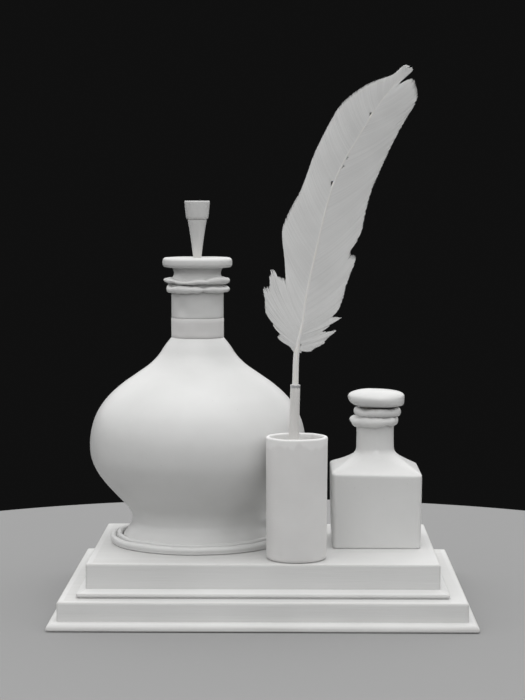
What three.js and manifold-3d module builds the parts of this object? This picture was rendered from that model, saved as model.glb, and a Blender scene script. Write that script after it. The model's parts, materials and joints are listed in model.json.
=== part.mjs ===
// Quill pen desk set: a feather dip pen standing in its pot, with an ink flask and a square ink
// bottle, on a stepped wooden stand. Millimetres, +Z up, the front faces -Y, and the origin is the
// centre of the stand's underside.
import * as THREE from "three";
import { mergeVertices } from "three/addons/utils/BufferGeometryUtils.js";
import Module from "manifold-3d";

const wasm = await Module();
wasm.setup();

// ---- Driving dimensions ----------------------------------------------------------------------

const TOP = { width: 178, depth: 120 }; // the top block, which every lower board steps out from
const STEP = { bevel: 4.5, plinth: 13.2, slab: 18.2 }; // how far each board stands out past it
const LEVEL = { floor: 0, slab: 0.2, plinth: 4.3, bevel: 14, slope: 16.3, block: 18.1, top: 30.7 };
const EASE = 1; // rounding on a board's upper edge
const FELT = { inset: 6, height: 1.4 };
const SCREW = { x: 70, y: 42, headRadius: 3.2, headDepth: 2.2, shankRadius: 1.5, top: 25 };
const GAP = 0.3; // between pieces that touch

// Heights on the flask, the pot and the ink bottle are measured from the stand's top.
const FLASK = { x: -35.8, y: 9.5, wall: 2.6, kick: 6.5, hollowLow: 14.2, waist: 141 };
const COASTER = { radius: 47, rim: 4.2, seatRadius: 43.6, seat: 1.6 };
const FLASK_NECK = { radius: 13.8, bore: 9.8 };
const SLEEVE = { low: 109, high: 119.6, groove: 0.9, proud: 0.4 };
const LIP = { radius: 18.5, middle: 148.9, half: 2.7 };
const NECK_RINGS = {
  flask_neck_ring_lower: { radius: 17.4, height: 134.9, size: 1.75 },
  flask_neck_ring_upper: { radius: 17.7, height: 139.1, size: 1.55 },
};
const CORK = { low: 137, radius: 9.4, taper: 0.5, socket: 2.7, socketLow: 139.5 };
const STEM = { low: 140, radius: 1.7, mouthRadius: 2.25, topRadius: 5.1, high: 171.6 };
const HEAD = { lowRadius: 5.5, topRadius: 6.8, high: 181.6 };

const POT = { x: 16.9, y: -43.6, topRadius: 15.75, footRadius: 15.3, wall: 2.1, floor: 3, height: 62.7 };
const INSERT = { high: 36, bore: 3.5, boreLow: 5.8 };

const PEN = { x: 14.35, height: 18, tilt: THREE.MathUtils.degToRad(1.5) }; // the nib's point
const NIB = { length: 24, radius: 2.1, sheet: 0.35, coreRadius: 1.4 };
const GRIP = { low: 13, high: 71, socket: 2.45, socketTop: 26, wellRadius: 1.85, wellLow: 54, flange: 4.3 };
const COLLAR = { bore: 2.4, radius: 2.75, low: 69.6, high: 70.8 };
const SHAFT = { low: 55, vane: 89, tip: 231.8, barrelRadius: 1.5, vaneRadius: 1.3, tipRadius: 0.45 };
const VANE = { sheet: 0.8, bow: 9, cup: 0.004, gap: 0.35 };

const BOTTLE = { x: 58.85, y: 6.3, width: 47.3, corner: 4, wall: 3, shoulder: 38, neckBase: 48.2 };
const BOTTLE_NECK = { radius: 10.2, bore: 7, lipLow: 68.2, lipHigh: 71.6, lip: 13.3 };
const BOTTLE_RING = { radius: 14.1, height: 64.8, size: 2.6 };
const BOTTLE_CORK = { down: 17, lowRadius: 4.3, topRadius: 5.2 }; // down from the knob's middle
const KNOB = { radius: 15.2, halfHeight: 4.9, height: 77, shift: 0.5, tilt: THREE.MathUtils.degToRad(4.5) };

const ROUND = 32; // facets round a large turned piece
const SMALL_ROUND = 16; // round a small one
const THIN_ROUND = 12; // and round a screw or a pin
const COLOUR = { pale: 0xb4b4b4, light: 0xc2c2c2, mid: 0xa6a6a6, felt: 0x8d8d8d, metal: 0x9a9a9a };

// ---- Tools -----------------------------------------------------------------------------------

const group = new THREE.Group();

function add(name, geometry, colour, { parent = group, roughness = 0.7, metalness = 0 } = {}) {
  const mesh = new THREE.Mesh(
    geometry,
    new THREE.MeshStandardMaterial({ color: colour, roughness, metalness }),
  );
  mesh.name = name;
  parent.add(mesh);
  return mesh;
}

function solidOf(geometry) {
  const bare = geometry.clone();
  bare.deleteAttribute("normal");
  bare.deleteAttribute("uv");
  const merged = mergeVertices(bare, 1e-4);
  return new wasm.Manifold(
    new wasm.Mesh({
      numProp: 3,
      vertProperties: merged.attributes.position.array,
      triVerts: new Uint32Array(merged.index.array),
    }),
  );
}

function geometryOf(solid) {
  const { vertProperties, triVerts } = solid.getMesh();
  return new THREE.BufferGeometry()
    .setAttribute("position", new THREE.BufferAttribute(vertProperties, 3))
    .setIndex(new THREE.BufferAttribute(triVerts, 1));
}

function cut(geometry, ...tools) {
  return geometryOf(tools.reduce((solid, tool) => solid.subtract(solidOf(tool)), solidOf(geometry)));
}

// A turned piece: the profile lists [radius, height] up the outside and back down the inside.
function turned(profile, facets = ROUND) {
  const points = profile.map(([radius, height]) => new THREE.Vector2(radius, height));
  return new THREE.LatheGeometry(points, facets).rotateX(Math.PI / 2);
}

// A round-faced ring laid round a neck, from the neck's radius out.
function ringGeometry(inner, { radius, height, size }) {
  const low = [inner, height - size];
  return turned([low, ...arc(radius - size, height, size, -90, 90, 6), [inner, height + size], low]);
}

// Points on an arc of a profile, from one angle to another in degrees, 0 pointing outwards.
function arc(radius, height, size, from, to, steps = 6) {
  return Array.from({ length: steps + 1 }, (_, i) => {
    const angle = THREE.MathUtils.degToRad(from + ((to - from) * i) / steps);
    return [radius + size * Math.cos(angle), height + size * Math.sin(angle)];
  });
}

// A closed mesh through rings that each hold the same even number of points. Each end is capped
// with strips from one half of its ring to the other, so a bent, thin ring caps cleanly too.
function lofted(rings) {
  const around = rings[0].length;
  const index = [];
  for (let i = 0; i + 1 < rings.length; i++)
    for (let j = 0; j < around; j++) {
      const a = i * around + j;
      const b = i * around + ((j + 1) % around);
      index.push(a, b, b + around, a, b + around, a + around);
    }
  const last = (rings.length - 1) * around;
  for (let j = 0; j + 1 < around / 2; j++) {
    const [a, b, c, d] = [j, j + 1, around - 2 - j, around - 1 - j];
    index.push(a, c, b, a, d, c);
    index.push(last + a, last + b, last + c, last + a, last + c, last + d);
  }
  return new THREE.BufferGeometry().setFromPoints(rings.flat()).setIndex(index);
}

// A rectangle or rounded rectangle of points at one height.
function rectangle(width, depth, height, corner = 0, cornerSteps = 0) {
  const spots = [
    [1, 1, 0],
    [-1, 1, 90],
    [-1, -1, 180],
    [1, -1, 270],
  ];
  return spots.flatMap(([sideX, sideY, turn]) =>
    Array.from({ length: cornerSteps + 1 }, (_, i) => {
      const angle = THREE.MathUtils.degToRad(turn + (cornerSteps ? (90 * i) / cornerSteps : 45));
      return new THREE.Vector3(
        sideX * (width / 2 - corner) + corner * Math.cos(angle),
        sideY * (depth / 2 - corner) + corner * Math.sin(angle),
        height,
      );
    }),
  );
}

// A board of the stand, as [how far it stands out past the top block, height] up its edge.
function board(edge) {
  return lofted(edge.map(([out, height]) => rectangle(TOP.width + 2 * out, TOP.depth + 2 * out, height)));
}

// ---- The stand -------------------------------------------------------------------------------

const FELT_TOP = LEVEL.slab + FELT.height - GAP; // the roof of the felt pad's recess

function screwProfile(grow) {
  const low = FELT_TOP;
  const neck = SCREW.shankRadius + grow;
  return [
    [0, low - grow],
    [SCREW.headRadius + grow, low - grow],
    [neck, low + SCREW.headDepth],
    [neck, SCREW.top + grow],
    [0, SCREW.top + grow + SCREW.shankRadius],
  ];
}

function buildStand() {
  const spots = [-1, 1].flatMap((sideX) => [-1, 1].map((sideY) => [sideX * SCREW.x, sideY * SCREW.y]));
  const holes = spots.map(([x, y]) => turned(screwProfile(GAP), THIN_ROUND).translate(x, y, 0));
  const nose = (LEVEL.plinth - LEVEL.slab) / 2;
  const bullnose = arc(STEP.slab - nose, LEVEL.slab + nose, nose, -90, 90, 6);
  const easedPlinth = arc(STEP.plinth - EASE, LEVEL.bevel - EASE, EASE, 0, 90, 2);
  const easedBlock = arc(-EASE / 2, LEVEL.top - EASE / 2, EASE / 2, 0, 90, 1);
  const inset = STEP.slab - FELT.inset;
  const recess = board([
    [inset + GAP, LEVEL.floor],
    [inset + GAP, FELT_TOP],
  ]);
  const edges = {
    stand_base_slab: bullnose,
    stand_lower_plinth: [[STEP.plinth, LEVEL.plinth], ...easedPlinth],
    stand_bevel_step: [
      [STEP.bevel, LEVEL.bevel],
      [STEP.bevel, LEVEL.slope],
      [0, LEVEL.block],
    ],
    stand_top_block: [[0, LEVEL.block], ...easedBlock],
  };
  for (const [name, edge] of Object.entries(edges)) {
    const tools = name === "stand_base_slab" ? [recess, ...holes] : holes;
    add(name, cut(board(edge), ...tools), COLOUR.pale, { roughness: 0.6 });
  }
  spots.forEach(([x, y], i) => {
    const screw = add(`stand_screw_${i + 1}`, turned(screwProfile(0), THIN_ROUND), COLOUR.metal, {
      roughness: 0.4,
      metalness: 1,
    });
    screw.position.set(x, y, 0);
  });
  const felt = board([
    [inset, LEVEL.floor],
    [inset, FELT_TOP - GAP],
  ]);
  add("stand_felt_pad", felt, COLOUR.felt, { roughness: 0.95 });
}

// ---- The flask -------------------------------------------------------------------------------

// The belly's outer surface, as [radius, height above the top block], from the foot to the neck.
const BELLY = [
  [42.2, COASTER.seat],
  [42.6, COASTER.seat + 2],
  [39.5, 6],
  [36.2, 9.2],
  [35.2, 12.6],
  [36.9, 18],
  [43, 24.8],
  [49, 31.4],
  [53.8, 38],
  [56.9, 45],
  [57.4, 52],
  [56.4, 61.5],
  [53.4, 70],
  [47.9, 77.5],
  [40.8, 84],
  [33.1, 89.5],
  [25.8, 94.6],
  [21.2, 99.4],
  [17.8, 105],
  [FLASK_NECK.radius, SLEEVE.low],
];

// The same surface one wall further in, from the neck down to the bottom of the hollow: the wall leans
// inwards, so its inside is lower than its outside above the belly's widest point, and higher below it.
function bellyInside() {
  const widest = Math.max(...BELLY.map(([radius]) => radius));
  const widestAt = BELLY.find(([radius]) => radius === widest)[1];
  const [down, up] = [1.2, 0.6];
  const rows = BELLY.filter(([, height]) => height > FLASK.hollowLow + 1).map(([radius, height]) => [
    radius - FLASK.wall,
    height >= widestAt ? height - down : height + up,
  ]);
  rows[rows.length - 1] = [FLASK_NECK.bore, SLEEVE.low];
  return [[0, FLASK.hollowLow], [26, FLASK.hollowLow], ...rows].reverse();
}

function buildFlask() {
  const flask = new THREE.Group();
  flask.position.set(FLASK.x, FLASK.y, LEVEL.top);
  group.add(flask);
  const put = (name, geometry, colour, look) => add(name, geometry, colour, { parent: flask, ...look });

  const rimRadius = (COASTER.radius - COASTER.seatRadius) / 2;
  const rimMiddle = COASTER.radius - rimRadius;
  put(
    "flask_coaster",
    turned([
      [0, 0],
      [COASTER.radius - 0.6, 0],
      ...arc(rimMiddle, COASTER.rim - rimRadius, rimRadius, -15, 180, 5),
      [COASTER.seatRadius, COASTER.seat - GAP],
      [0, COASTER.seat - GAP],
    ]),
    COLOUR.pale,
  );

  const neck = FLASK_NECK.radius;
  const groove = neck - SLEEVE.groove; // what the sleeve sits in
  const lipTop = LIP.middle + LIP.half;
  const body = [
    [0, FLASK.kick],
    [30, FLASK.kick],
    [34, COASTER.seat],
    ...BELLY,
    [groove, SLEEVE.low + 0.01],
    [groove, SLEEVE.high],
    [neck - 0.01, SLEEVE.high],
    [neck, FLASK.waist],
    [neck - 0.8, FLASK.waist + 2.2],
    [neck - 0.4, LIP.middle - LIP.half],
    ...arc(LIP.radius - LIP.half, LIP.middle, LIP.half, -80, 90, 6),
    [FLASK_NECK.bore + 0.6, lipTop],
    [FLASK_NECK.bore, lipTop - 0.8],
    ...bellyInside(),
  ];
  put("flask_body", turned(body), COLOUR.light, { roughness: 0.35 });

  const band = [
    [groove + GAP, SLEEVE.low + GAP],
    [neck + SLEEVE.proud, SLEEVE.low + GAP],
    [neck + SLEEVE.proud, SLEEVE.high - GAP],
    [groove + GAP, SLEEVE.high - GAP],
  ];
  put("flask_neck_sleeve", turned([...band, band[0]]), COLOUR.mid);

  for (const [name, shape] of Object.entries(NECK_RINGS))
    put(name, ringGeometry(neck + GAP, shape), COLOUR.light, { roughness: 0.4 });

  put(
    "flask_stopper_cork",
    turned(
      [
        [0, CORK.low],
        [CORK.radius - CORK.taper, CORK.low],
        [CORK.radius, lipTop - 0.2],
        [CORK.radius - 1, lipTop + 0.3],
        [CORK.socket, lipTop + 0.5],
        [CORK.socket - 0.6, CORK.socketLow],
        [0, CORK.socketLow],
      ],
      SMALL_ROUND,
    ),
    COLOUR.mid,
  );
  put(
    "flask_stopper_stem",
    turned(
      [
        [0, STEM.low],
        [STEM.radius, STEM.low],
        [STEM.mouthRadius, lipTop + 0.8],
        [STEM.topRadius, STEM.high],
        [0, STEM.high],
      ],
      SMALL_ROUND,
    ),
    COLOUR.light,
    { roughness: 0.4 },
  );
  put(
    "flask_stopper_head",
    turned(
      [
        [0, STEM.high + GAP],
        [HEAD.lowRadius, STEM.high + GAP],
        [HEAD.lowRadius + 0.6, STEM.high + 1.2],
        [HEAD.topRadius, HEAD.high - 0.6],
        [HEAD.topRadius - 0.4, HEAD.high],
        [0, HEAD.high - 0.4],
      ],
      SMALL_ROUND,
    ),
    COLOUR.light,
    { roughness: 0.4 },
  );
}

// ---- The pen pot and the pen -----------------------------------------------------------------

function buildPot() {
  const innerFoot = POT.footRadius - POT.wall;
  const rim = arc(POT.topRadius - POT.wall / 2, POT.height - POT.wall / 2, POT.wall / 2, 0, 180, 4);
  const pot = add(
    "pen_pot",
    turned([
      [0, 0],
      [POT.footRadius - 0.8, 0],
      [POT.footRadius, 0.8],
      ...rim,
      [innerFoot, POT.floor],
      [0, POT.floor],
    ]),
    COLOUR.pale,
  );
  pot.position.set(POT.x, POT.y, LEVEL.top);

  const low = POT.floor + GAP;
  const plug = turned([
    [0, low],
    [innerFoot - GAP, low],
    [innerFoot - GAP, INSERT.high],
    [0, INSERT.high],
  ]).translate(POT.x, POT.y, LEVEL.top);
  const drill = 60; // long enough to run out of the plug's top
  const bore = new THREE.CylinderGeometry(INSERT.bore, INSERT.bore, drill, SMALL_ROUND)
    .rotateX(Math.PI / 2)
    .translate(0, 0, drill / 2 + INSERT.boreLow - PEN.height)
    .rotateY(PEN.tilt)
    .translate(PEN.x, POT.y, LEVEL.top + PEN.height);
  add("pen_pot_insert", cut(plug, bore), COLOUR.mid);
}

// The feather in the pen's own frame, as [across, along] from the nib's point: the line of its
// shaft, and the outer edge of each of its four webs from the bottom up.
const RACHIS = [
  [0, SHAFT.low],
  [0, 72],
  [0.3, 88.5],
  [2.5, 101],
  [4.3, 115.5],
  [8.6, 139.4],
  [14.6, 166.5],
  [20, 181.5],
  [27.4, 195.2],
  [38, 213],
  [47.4, 225.4],
  [51.3, SHAFT.tip],
];
const WEBS = {
  vane_left: {
    side: -1,
    root: [112, 230.8],
    edge: [
      [-6.2, 126.6],
      [-7.4, 135],
      [-8.8, 147],
      [-3.7, 162],
      [4, 180],
      [11.2, 198.3],
      [23, 216.5],
      [38.1, 225.8],
      [46.6, 230.6],
      [50.6, 233.3],
    ],
  },
  vane_right: {
    side: 1,
    root: [97.5, 223.5],
    edge: [
      [14, 100.6],
      [20.9, 106],
      [24, 120.5],
      [28.4, 135.6],
      [26, 139],
      [31.6, 151],
      [35.3, 169],
      [45, 193.1],
      [56.2, 214.3],
      [57, 220],
      [54.3, 226],
    ],
  },
  down_left: {
    side: -1,
    root: [89.5, 111],
    edge: [
      [-2.6, 90.2],
      [-9.4, 97],
      [-16, 107.3],
      [-16.9, 120.4],
      [-14.2, 122.4],
      [-13.4, 128.6],
      [-10.6, 127],
      [-6.8, 125.6],
    ],
  },
  down_right: {
    side: 1,
    root: [89.5, 96.8],
    edge: [
      [3.4, 89.2],
      [8.5, 89.8],
      [19.8, 99],
      [13.5, 99.4],
    ],
  },
};

const rachis = new THREE.CatmullRomCurve3(RACHIS.map(([x, z]) => new THREE.Vector3(x, 0, z)));

// How far forward the feather has bowed at a height along the pen, as a place along Y.
function bowAt(along) {
  const share = Math.max(0, along - SHAFT.vane) / (SHAFT.tip - SHAFT.vane);
  return -VANE.bow * share * share;
}

function shaftRadius(along) {
  const [low, high, from, to] =
    along < SHAFT.vane
      ? [SHAFT.low, SHAFT.vane, SHAFT.barrelRadius, SHAFT.vaneRadius]
      : [SHAFT.vane, SHAFT.tip, SHAFT.vaneRadius, SHAFT.tipRadius];
  return THREE.MathUtils.mapLinear(along, low, high, from, to);
}

function shaftGeometry(steps = 34, sides = 8) {
  const rings = [];
  for (let i = 0; i <= steps; i++) {
    const middle = rachis.getPoint(i / steps);
    const ahead = rachis.getTangent(i / steps);
    const across = new THREE.Vector3(ahead.z, 0, -ahead.x);
    const radius = shaftRadius(middle.z);
    rings.push(
      Array.from({ length: sides }, (_, j) => {
        const angle = (2 * Math.PI * j) / sides;
        const point = middle.clone().addScaledVector(across, radius * Math.cos(angle));
        point.y += bowAt(middle.z) + radius * Math.sin(angle);
        return point;
      }),
    );
  }
  return lofted(rings);
}

// The point on one side of the shaft, clear of it, at a height along the pen.
function besideShaft(side, height) {
  let low = 0;
  let high = 1;
  while (high - low > 1e-4) {
    const middle = (low + high) / 2;
    if (rachis.getPoint(middle).z < height) low = middle;
    else high = middle;
  }
  const point = rachis.getPoint(low);
  const ahead = rachis.getTangent(low);
  const out = side * (shaftRadius(point.z) + VANE.gap);
  return new THREE.Vector3(point.x + out * ahead.z, 0, point.z - out * ahead.x);
}

// A thin web from the shaft to its outer edge, bowed with the shaft and falling back from it.
function webGeometry({ side, root, edge }, steps = 26, across = 3) {
  const points = edge.map(([x, z]) => new THREE.Vector3(x, 0, z));
  const outer = new THREE.CatmullRomCurve3(points, false, "centripetal");
  const rings = [];
  for (let i = 0; i <= steps; i++) {
    const from = besideShaft(side, THREE.MathUtils.lerp(root[0], root[1], i / steps));
    const to = outer.getPoint(i / steps);
    const front = Array.from({ length: across + 1 }, (_, j) => {
      const point = from.clone().lerp(to, j / across);
      const off = from.distanceTo(point);
      point.y = bowAt(point.z) + VANE.cup * off * off - VANE.sheet / 2;
      return point;
    });
    const back = front.map((point) => point.clone().add(new THREE.Vector3(0, VANE.sheet, 0))).reverse();
    rings.push(side > 0 ? [...front, ...back] : [...front, ...back].reverse());
  }
  return lofted(rings);
}

// The rolled nib, a gutter that widens from its point until it is nearly half a tube.
function nibGeometry(rows = 12, columns = 8) {
  const [tipShare, fullAt, roll] = [0.12, 9, THREE.MathUtils.degToRad(78)];
  const skin = (grow) =>
    Array.from({ length: rows + 1 }, (_, i) => {
      const along = (NIB.length * i) / rows;
      const spread = Math.min(1, tipShare + along / fullAt) * roll;
      return Array.from({ length: columns + 1 }, (_, j) => {
        const angle = spread * ((2 * j) / columns - 1);
        const radius = NIB.radius + grow;
        return new THREE.Vector3(radius * Math.sin(angle), -radius * Math.cos(angle), along);
      });
    });
  const outer = skin(0);
  const inner = skin(-NIB.sheet);
  return lofted(outer.map((row, i) => [...row, ...inner[i].reverse()]));
}

function buildPen() {
  const pen = new THREE.Group();
  pen.position.set(PEN.x, POT.y, LEVEL.top + PEN.height);
  pen.rotation.y = PEN.tilt;
  group.add(pen);
  const put = (name, geometry, colour, look) => add(name, geometry, colour, { parent: pen, ...look });
  const metal = { roughness: 0.35, metalness: 1 };

  put("pen_nib", nibGeometry(), COLOUR.metal, metal);
  put(
    "pen_nib_core",
    turned(
      [
        [0, GRIP.low + 1],
        [NIB.coreRadius - 0.2, GRIP.low + 1],
        [NIB.coreRadius, GRIP.low + 2],
        [NIB.coreRadius, GRIP.socketTop - 0.4],
        [0, GRIP.socketTop - 0.4],
      ],
      THIN_ROUND,
    ),
    COLOUR.metal,
    metal,
  );
  const rest = INSERT.high - PEN.height; // where the grip's flange rests on the plug
  const neckLow = GRIP.high - 1.7;
  const neckRadius = 2.15; // what the collar is rolled onto
  put(
    "pen_grip",
    turned(
      [
        [GRIP.socket, GRIP.low],
        [2.9, GRIP.low],
        [3, rest + 0.2],
        [GRIP.flange, rest + 0.5],
        [GRIP.flange - 0.2, rest + 1.6],
        [3, 27],
        [2.75, 34],
        [2.58, 46],
        [2.42, neckLow],
        [neckRadius, neckLow],
        [neckRadius, GRIP.high],
        [GRIP.wellRadius, GRIP.high],
        [GRIP.wellRadius, GRIP.wellLow],
        [0, GRIP.wellLow],
        [0, GRIP.socketTop],
        [GRIP.socket, GRIP.socketTop],
        [GRIP.socket, GRIP.low],
      ],
      SMALL_ROUND,
    ),
    COLOUR.mid,
  );
  const collarLow = [COLLAR.bore, COLLAR.low];
  const bead = arc(COLLAR.radius - 0.3, (COLLAR.low + COLLAR.high) / 2, 0.3, -90, 90, 4);
  const collar = turned([collarLow, ...bead, [COLLAR.bore, COLLAR.high], collarLow], SMALL_ROUND);
  put("pen_collar", collar, COLOUR.metal, metal);
  put("quill_shaft", shaftGeometry(), COLOUR.light);

  for (const [name, webShape] of Object.entries(WEBS)) put(name, webGeometry(webShape), COLOUR.light);
}

// ---- The square ink bottle -------------------------------------------------------------------

// One level of the bottle: a square with rounded corners, which is a circle once they fill it.
function bottleRing(halfWidth, corner, height) {
  return rectangle(2 * halfWidth, 2 * halfWidth, height, corner, 5);
}

function buildBottle() {
  const bottle = new THREE.Group();
  bottle.position.set(BOTTLE.x, BOTTLE.y, LEVEL.top);
  group.add(bottle);
  const put = (name, geometry, colour, look) => add(name, geometry, colour, { parent: bottle, ...look });

  const half = BOTTLE.width / 2;
  const { corner, wall, shoulder, neckBase } = BOTTLE;
  const neck = BOTTLE_NECK;
  const lipRadius = (neck.lipHigh - neck.lipLow) / 2;
  const lip = arc(neck.lip - lipRadius, (neck.lipLow + neck.lipHigh) / 2, lipRadius, -90, 90, 4);
  const round = (radius, height) => bottleRing(radius, radius, height);
  const outside = lofted([
    bottleRing(half - 0.8, corner, 0),
    bottleRing(half, corner, 0.8),
    bottleRing(half, corner, shoulder),
    bottleRing(half - 1.2, corner, shoulder + 2),
    bottleRing(half - 5, corner + 3, shoulder + 4.2),
    round(neck.radius + 2, neckBase - 1.4),
    round(neck.radius, neckBase + 0.6),
    round(neck.radius, neck.lipLow - 0.6),
    ...lip.map(([radius, height]) => round(radius, height)),
  ]);
  const inside = lofted([
    bottleRing(half - wall - 0.8, corner - 1, wall),
    bottleRing(half - wall, corner - 1, wall + 0.8),
    bottleRing(half - wall, corner - 1, shoulder - 1),
    bottleRing(half - wall - 4, corner + 2, shoulder + 1.6),
    round(neck.bore + 1, neckBase - 2.6),
    round(neck.bore, neckBase),
    round(neck.bore, neck.lipHigh + 1),
  ]);
  put("bottle_body", cut(outside, inside), COLOUR.light, { roughness: 0.35 });

  put("bottle_neck_ring", ringGeometry(neck.radius + GAP, BOTTLE_RING), COLOUR.light, { roughness: 0.4 });

  const stopper = new THREE.Group();
  stopper.position.set(KNOB.shift, 0, KNOB.height);
  stopper.rotation.y = KNOB.tilt;
  bottle.add(stopper);
  const lens = arc(0, 0, 1, -90, 90, 8).map(([x, z]) => [KNOB.radius * Math.max(0, x), KNOB.halfHeight * z]);
  lens[0][0] = 0;
  lens[lens.length - 1][0] = 0;
  add("bottle_stopper_knob", turned(lens), COLOUR.light, { parent: stopper, roughness: 0.4 });
  add(
    "bottle_stopper_cork",
    turned(
      [
        [0, -BOTTLE_CORK.down],
        [BOTTLE_CORK.lowRadius, -BOTTLE_CORK.down],
        [BOTTLE_CORK.topRadius, -KNOB.halfHeight - GAP],
        [0, -KNOB.halfHeight - GAP],
      ],
      SMALL_ROUND,
    ),
    COLOUR.mid,
    { parent: stopper },
  );
}

buildStand();
buildFlask();
buildPot();
buildPen();
buildBottle();

export default group;
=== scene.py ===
"""Looks of a quill pen desk set: a feather dip pen in its pot, an ink flask and a square ink bottle
on a stepped stand. Shapes are given in millimetres and placed in metres, +Z up, the front faces -Y."""
import json
import math
import random

import bpy
import numpy as np
from mathutils import Matrix, Vector, noise


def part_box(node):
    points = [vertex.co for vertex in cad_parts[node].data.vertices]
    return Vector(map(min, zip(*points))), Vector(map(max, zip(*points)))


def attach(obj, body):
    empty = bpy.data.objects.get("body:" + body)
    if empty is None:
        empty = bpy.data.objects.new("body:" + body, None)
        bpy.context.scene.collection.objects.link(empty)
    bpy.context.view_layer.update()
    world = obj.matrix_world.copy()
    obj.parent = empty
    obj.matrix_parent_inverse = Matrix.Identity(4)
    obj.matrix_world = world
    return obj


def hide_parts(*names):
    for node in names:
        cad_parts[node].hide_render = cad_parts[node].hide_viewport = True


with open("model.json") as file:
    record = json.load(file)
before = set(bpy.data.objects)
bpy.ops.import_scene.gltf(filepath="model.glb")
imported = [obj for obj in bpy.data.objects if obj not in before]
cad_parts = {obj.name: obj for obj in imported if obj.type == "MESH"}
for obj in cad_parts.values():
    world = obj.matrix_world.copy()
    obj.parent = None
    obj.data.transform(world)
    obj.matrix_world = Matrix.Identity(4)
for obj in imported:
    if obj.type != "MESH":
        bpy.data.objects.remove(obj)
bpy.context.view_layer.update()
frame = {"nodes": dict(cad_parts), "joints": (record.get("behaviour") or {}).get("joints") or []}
scene = bpy.context.scene

MM = 0.001

# ---- Places, from the frame -------------------------------------------------------------------


def middle(node):
    low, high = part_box(node)
    return (low + high) / 2


def joint_axis(name):
    return Vector(next(joint["axis"] for joint in frame["joints"] if joint["name"] == name))


def standing(node, height):
    """The place of a turned piece: on its node's axis, with this height in metres as its zero."""
    return Matrix.Translation((middle(node).x, middle(node).y, height))


BLOCK_LOW, BLOCK_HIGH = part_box("stand_top_block")
TABLE = BLOCK_HIGH.z  # the level that the vessels stand on
COLLAR_UP = 70.15  # the collar's middle, along the pen from the nib's point
PEN_AXIS = joint_axis("quill_lift")
PEN_TILT = math.atan2(PEN_AXIS.x, PEN_AXIS.z)
NIB_POINT = middle("pen_collar") - PEN_AXIS * COLLAR_UP * MM
PEN_PLACE = Matrix.Translation(NIB_POINT) @ Matrix.Rotation(PEN_TILT, 4, "Y")
FLASK_PLACE = standing("flask_coaster", TABLE)
POT_PLACE = standing("pen_pot", TABLE)
BOTTLE_PLACE = standing("bottle_body", TABLE)
KNOB_AXIS = joint_axis("ink_stopper_lift")
KNOB_TILT = math.atan2(KNOB_AXIS.x, KNOB_AXIS.z)
KNOB_PLACE = Matrix.Translation(middle("bottle_stopper_knob")) @ Matrix.Rotation(KNOB_TILT, 4, "Y")

# ---- Curves -----------------------------------------------------------------------------------


def spline(points, share):
    """The point at a share from 0 to 1 of a centripetal spline through these points."""
    points = np.asarray(points, float)
    place = min(max(share, 0.0), 1.0) * (len(points) - 1)
    index = min(int(place), len(points) - 2)
    weight = place - index
    b, c = points[index], points[index + 1]
    a = points[index - 1] if index else 2 * b - c
    d = points[index + 2] if index + 2 < len(points) else 2 * c - b
    ab, bc, cd = (max(np.linalg.norm(q - p), 1e-6) ** 0.5 for p, q in ((a, b), (b, c), (c, d)))
    leave = ((b - a) / ab - (c - a) / (ab + bc) + (c - b) / bc) * bc
    arrive = ((c - b) / bc - (d - b) / (bc + cd) + (d - c) / cd) * bc
    bend = -3 * b + 3 * c - 2 * leave - arrive
    twist = 2 * b - 2 * c + leave + arrive
    return b + leave * weight + bend * weight**2 + twist * weight**3


def flowing(points, per_span=5):
    """A smooth run of points through these."""
    steps = per_span * (len(points) - 1)
    return [tuple(spline(points, step / steps)) for step in range(steps + 1)]


def circle(size, height, around, across=0.0):
    """A level ring of points, its middle this far across."""
    angles = [math.tau * step / around for step in range(around)]
    return [(across + size * math.cos(angle), size * math.sin(angle), height) for angle in angles]


def arc(across, up, size, start, end, steps=6):
    """Points on an arc, from one angle to another in degrees, where 0 points outwards."""
    angles = [math.radians(start + (end - start) * step / steps) for step in range(steps + 1)]
    return [(across + size * math.cos(angle), up + size * math.sin(angle)) for angle in angles]


def rough(seed, angle, height=0.0, lobes=1.5):
    """Even noise from -1 to 1 that closes on itself round a turned piece."""
    return noise.noise(Vector((lobes * math.cos(angle) + seed, lobes * math.sin(angle), height)))


# ---- Meshes -----------------------------------------------------------------------------------


def piece(name, points, faces, material, place=Matrix(), sharp=40):
    """A mesh object from points in millimetres, set in its place and shaded smooth up to an angle."""
    mesh = bpy.data.meshes.new(name)
    mesh.from_pydata([place @ (Vector(point) * MM) for point in points], [], faces)
    mesh.materials.append(material)
    mesh.polygons.foreach_set("use_smooth", [True] * len(mesh.polygons))
    mesh.set_sharp_from_angle(angle=math.radians(sharp))
    made = bpy.data.objects.new(name, mesh)
    scene.collection.objects.link(made)
    return made


def finish_piece(made, body, slot, *nodes):
    """Hands a piece to its body, in place of CAD nodes. The slot is not used."""
    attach(made, body)
    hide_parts(*nodes)


def skinned(rings, closed=False):
    """Points and faces through rings of points. A ring of one point closes an end; a loop of rings
    that never meets the axis is joined end to end."""
    starts, points = [], []
    for ring in rings:
        starts.append((len(points), len(ring)))
        points.extend(ring)
    faces = []
    pairs = list(zip(starts, starts[1:] + starts[:1])) if closed else list(zip(starts, starts[1:]))
    for (low, low_count), (high, high_count) in pairs:
        for j in range(max(low_count, high_count)):
            k = (j + 1) % max(low_count, high_count)
            if low_count == 1:
                faces.append((low, high + k, high + j))
            elif high_count == 1:
                faces.append((low + j, low + k, high))
            else:
                faces.append((low + j, low + k, high + k, high + j))
    return points, faces


def capped(rings):
    """Points and faces through rings of points, with a flat face over each end."""
    points, faces = skinned(rings)
    faces.append(tuple(reversed(range(len(rings[0])))))
    faces.append(tuple(range(len(points) - len(rings[-1]), len(points))))
    return points, faces


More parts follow.
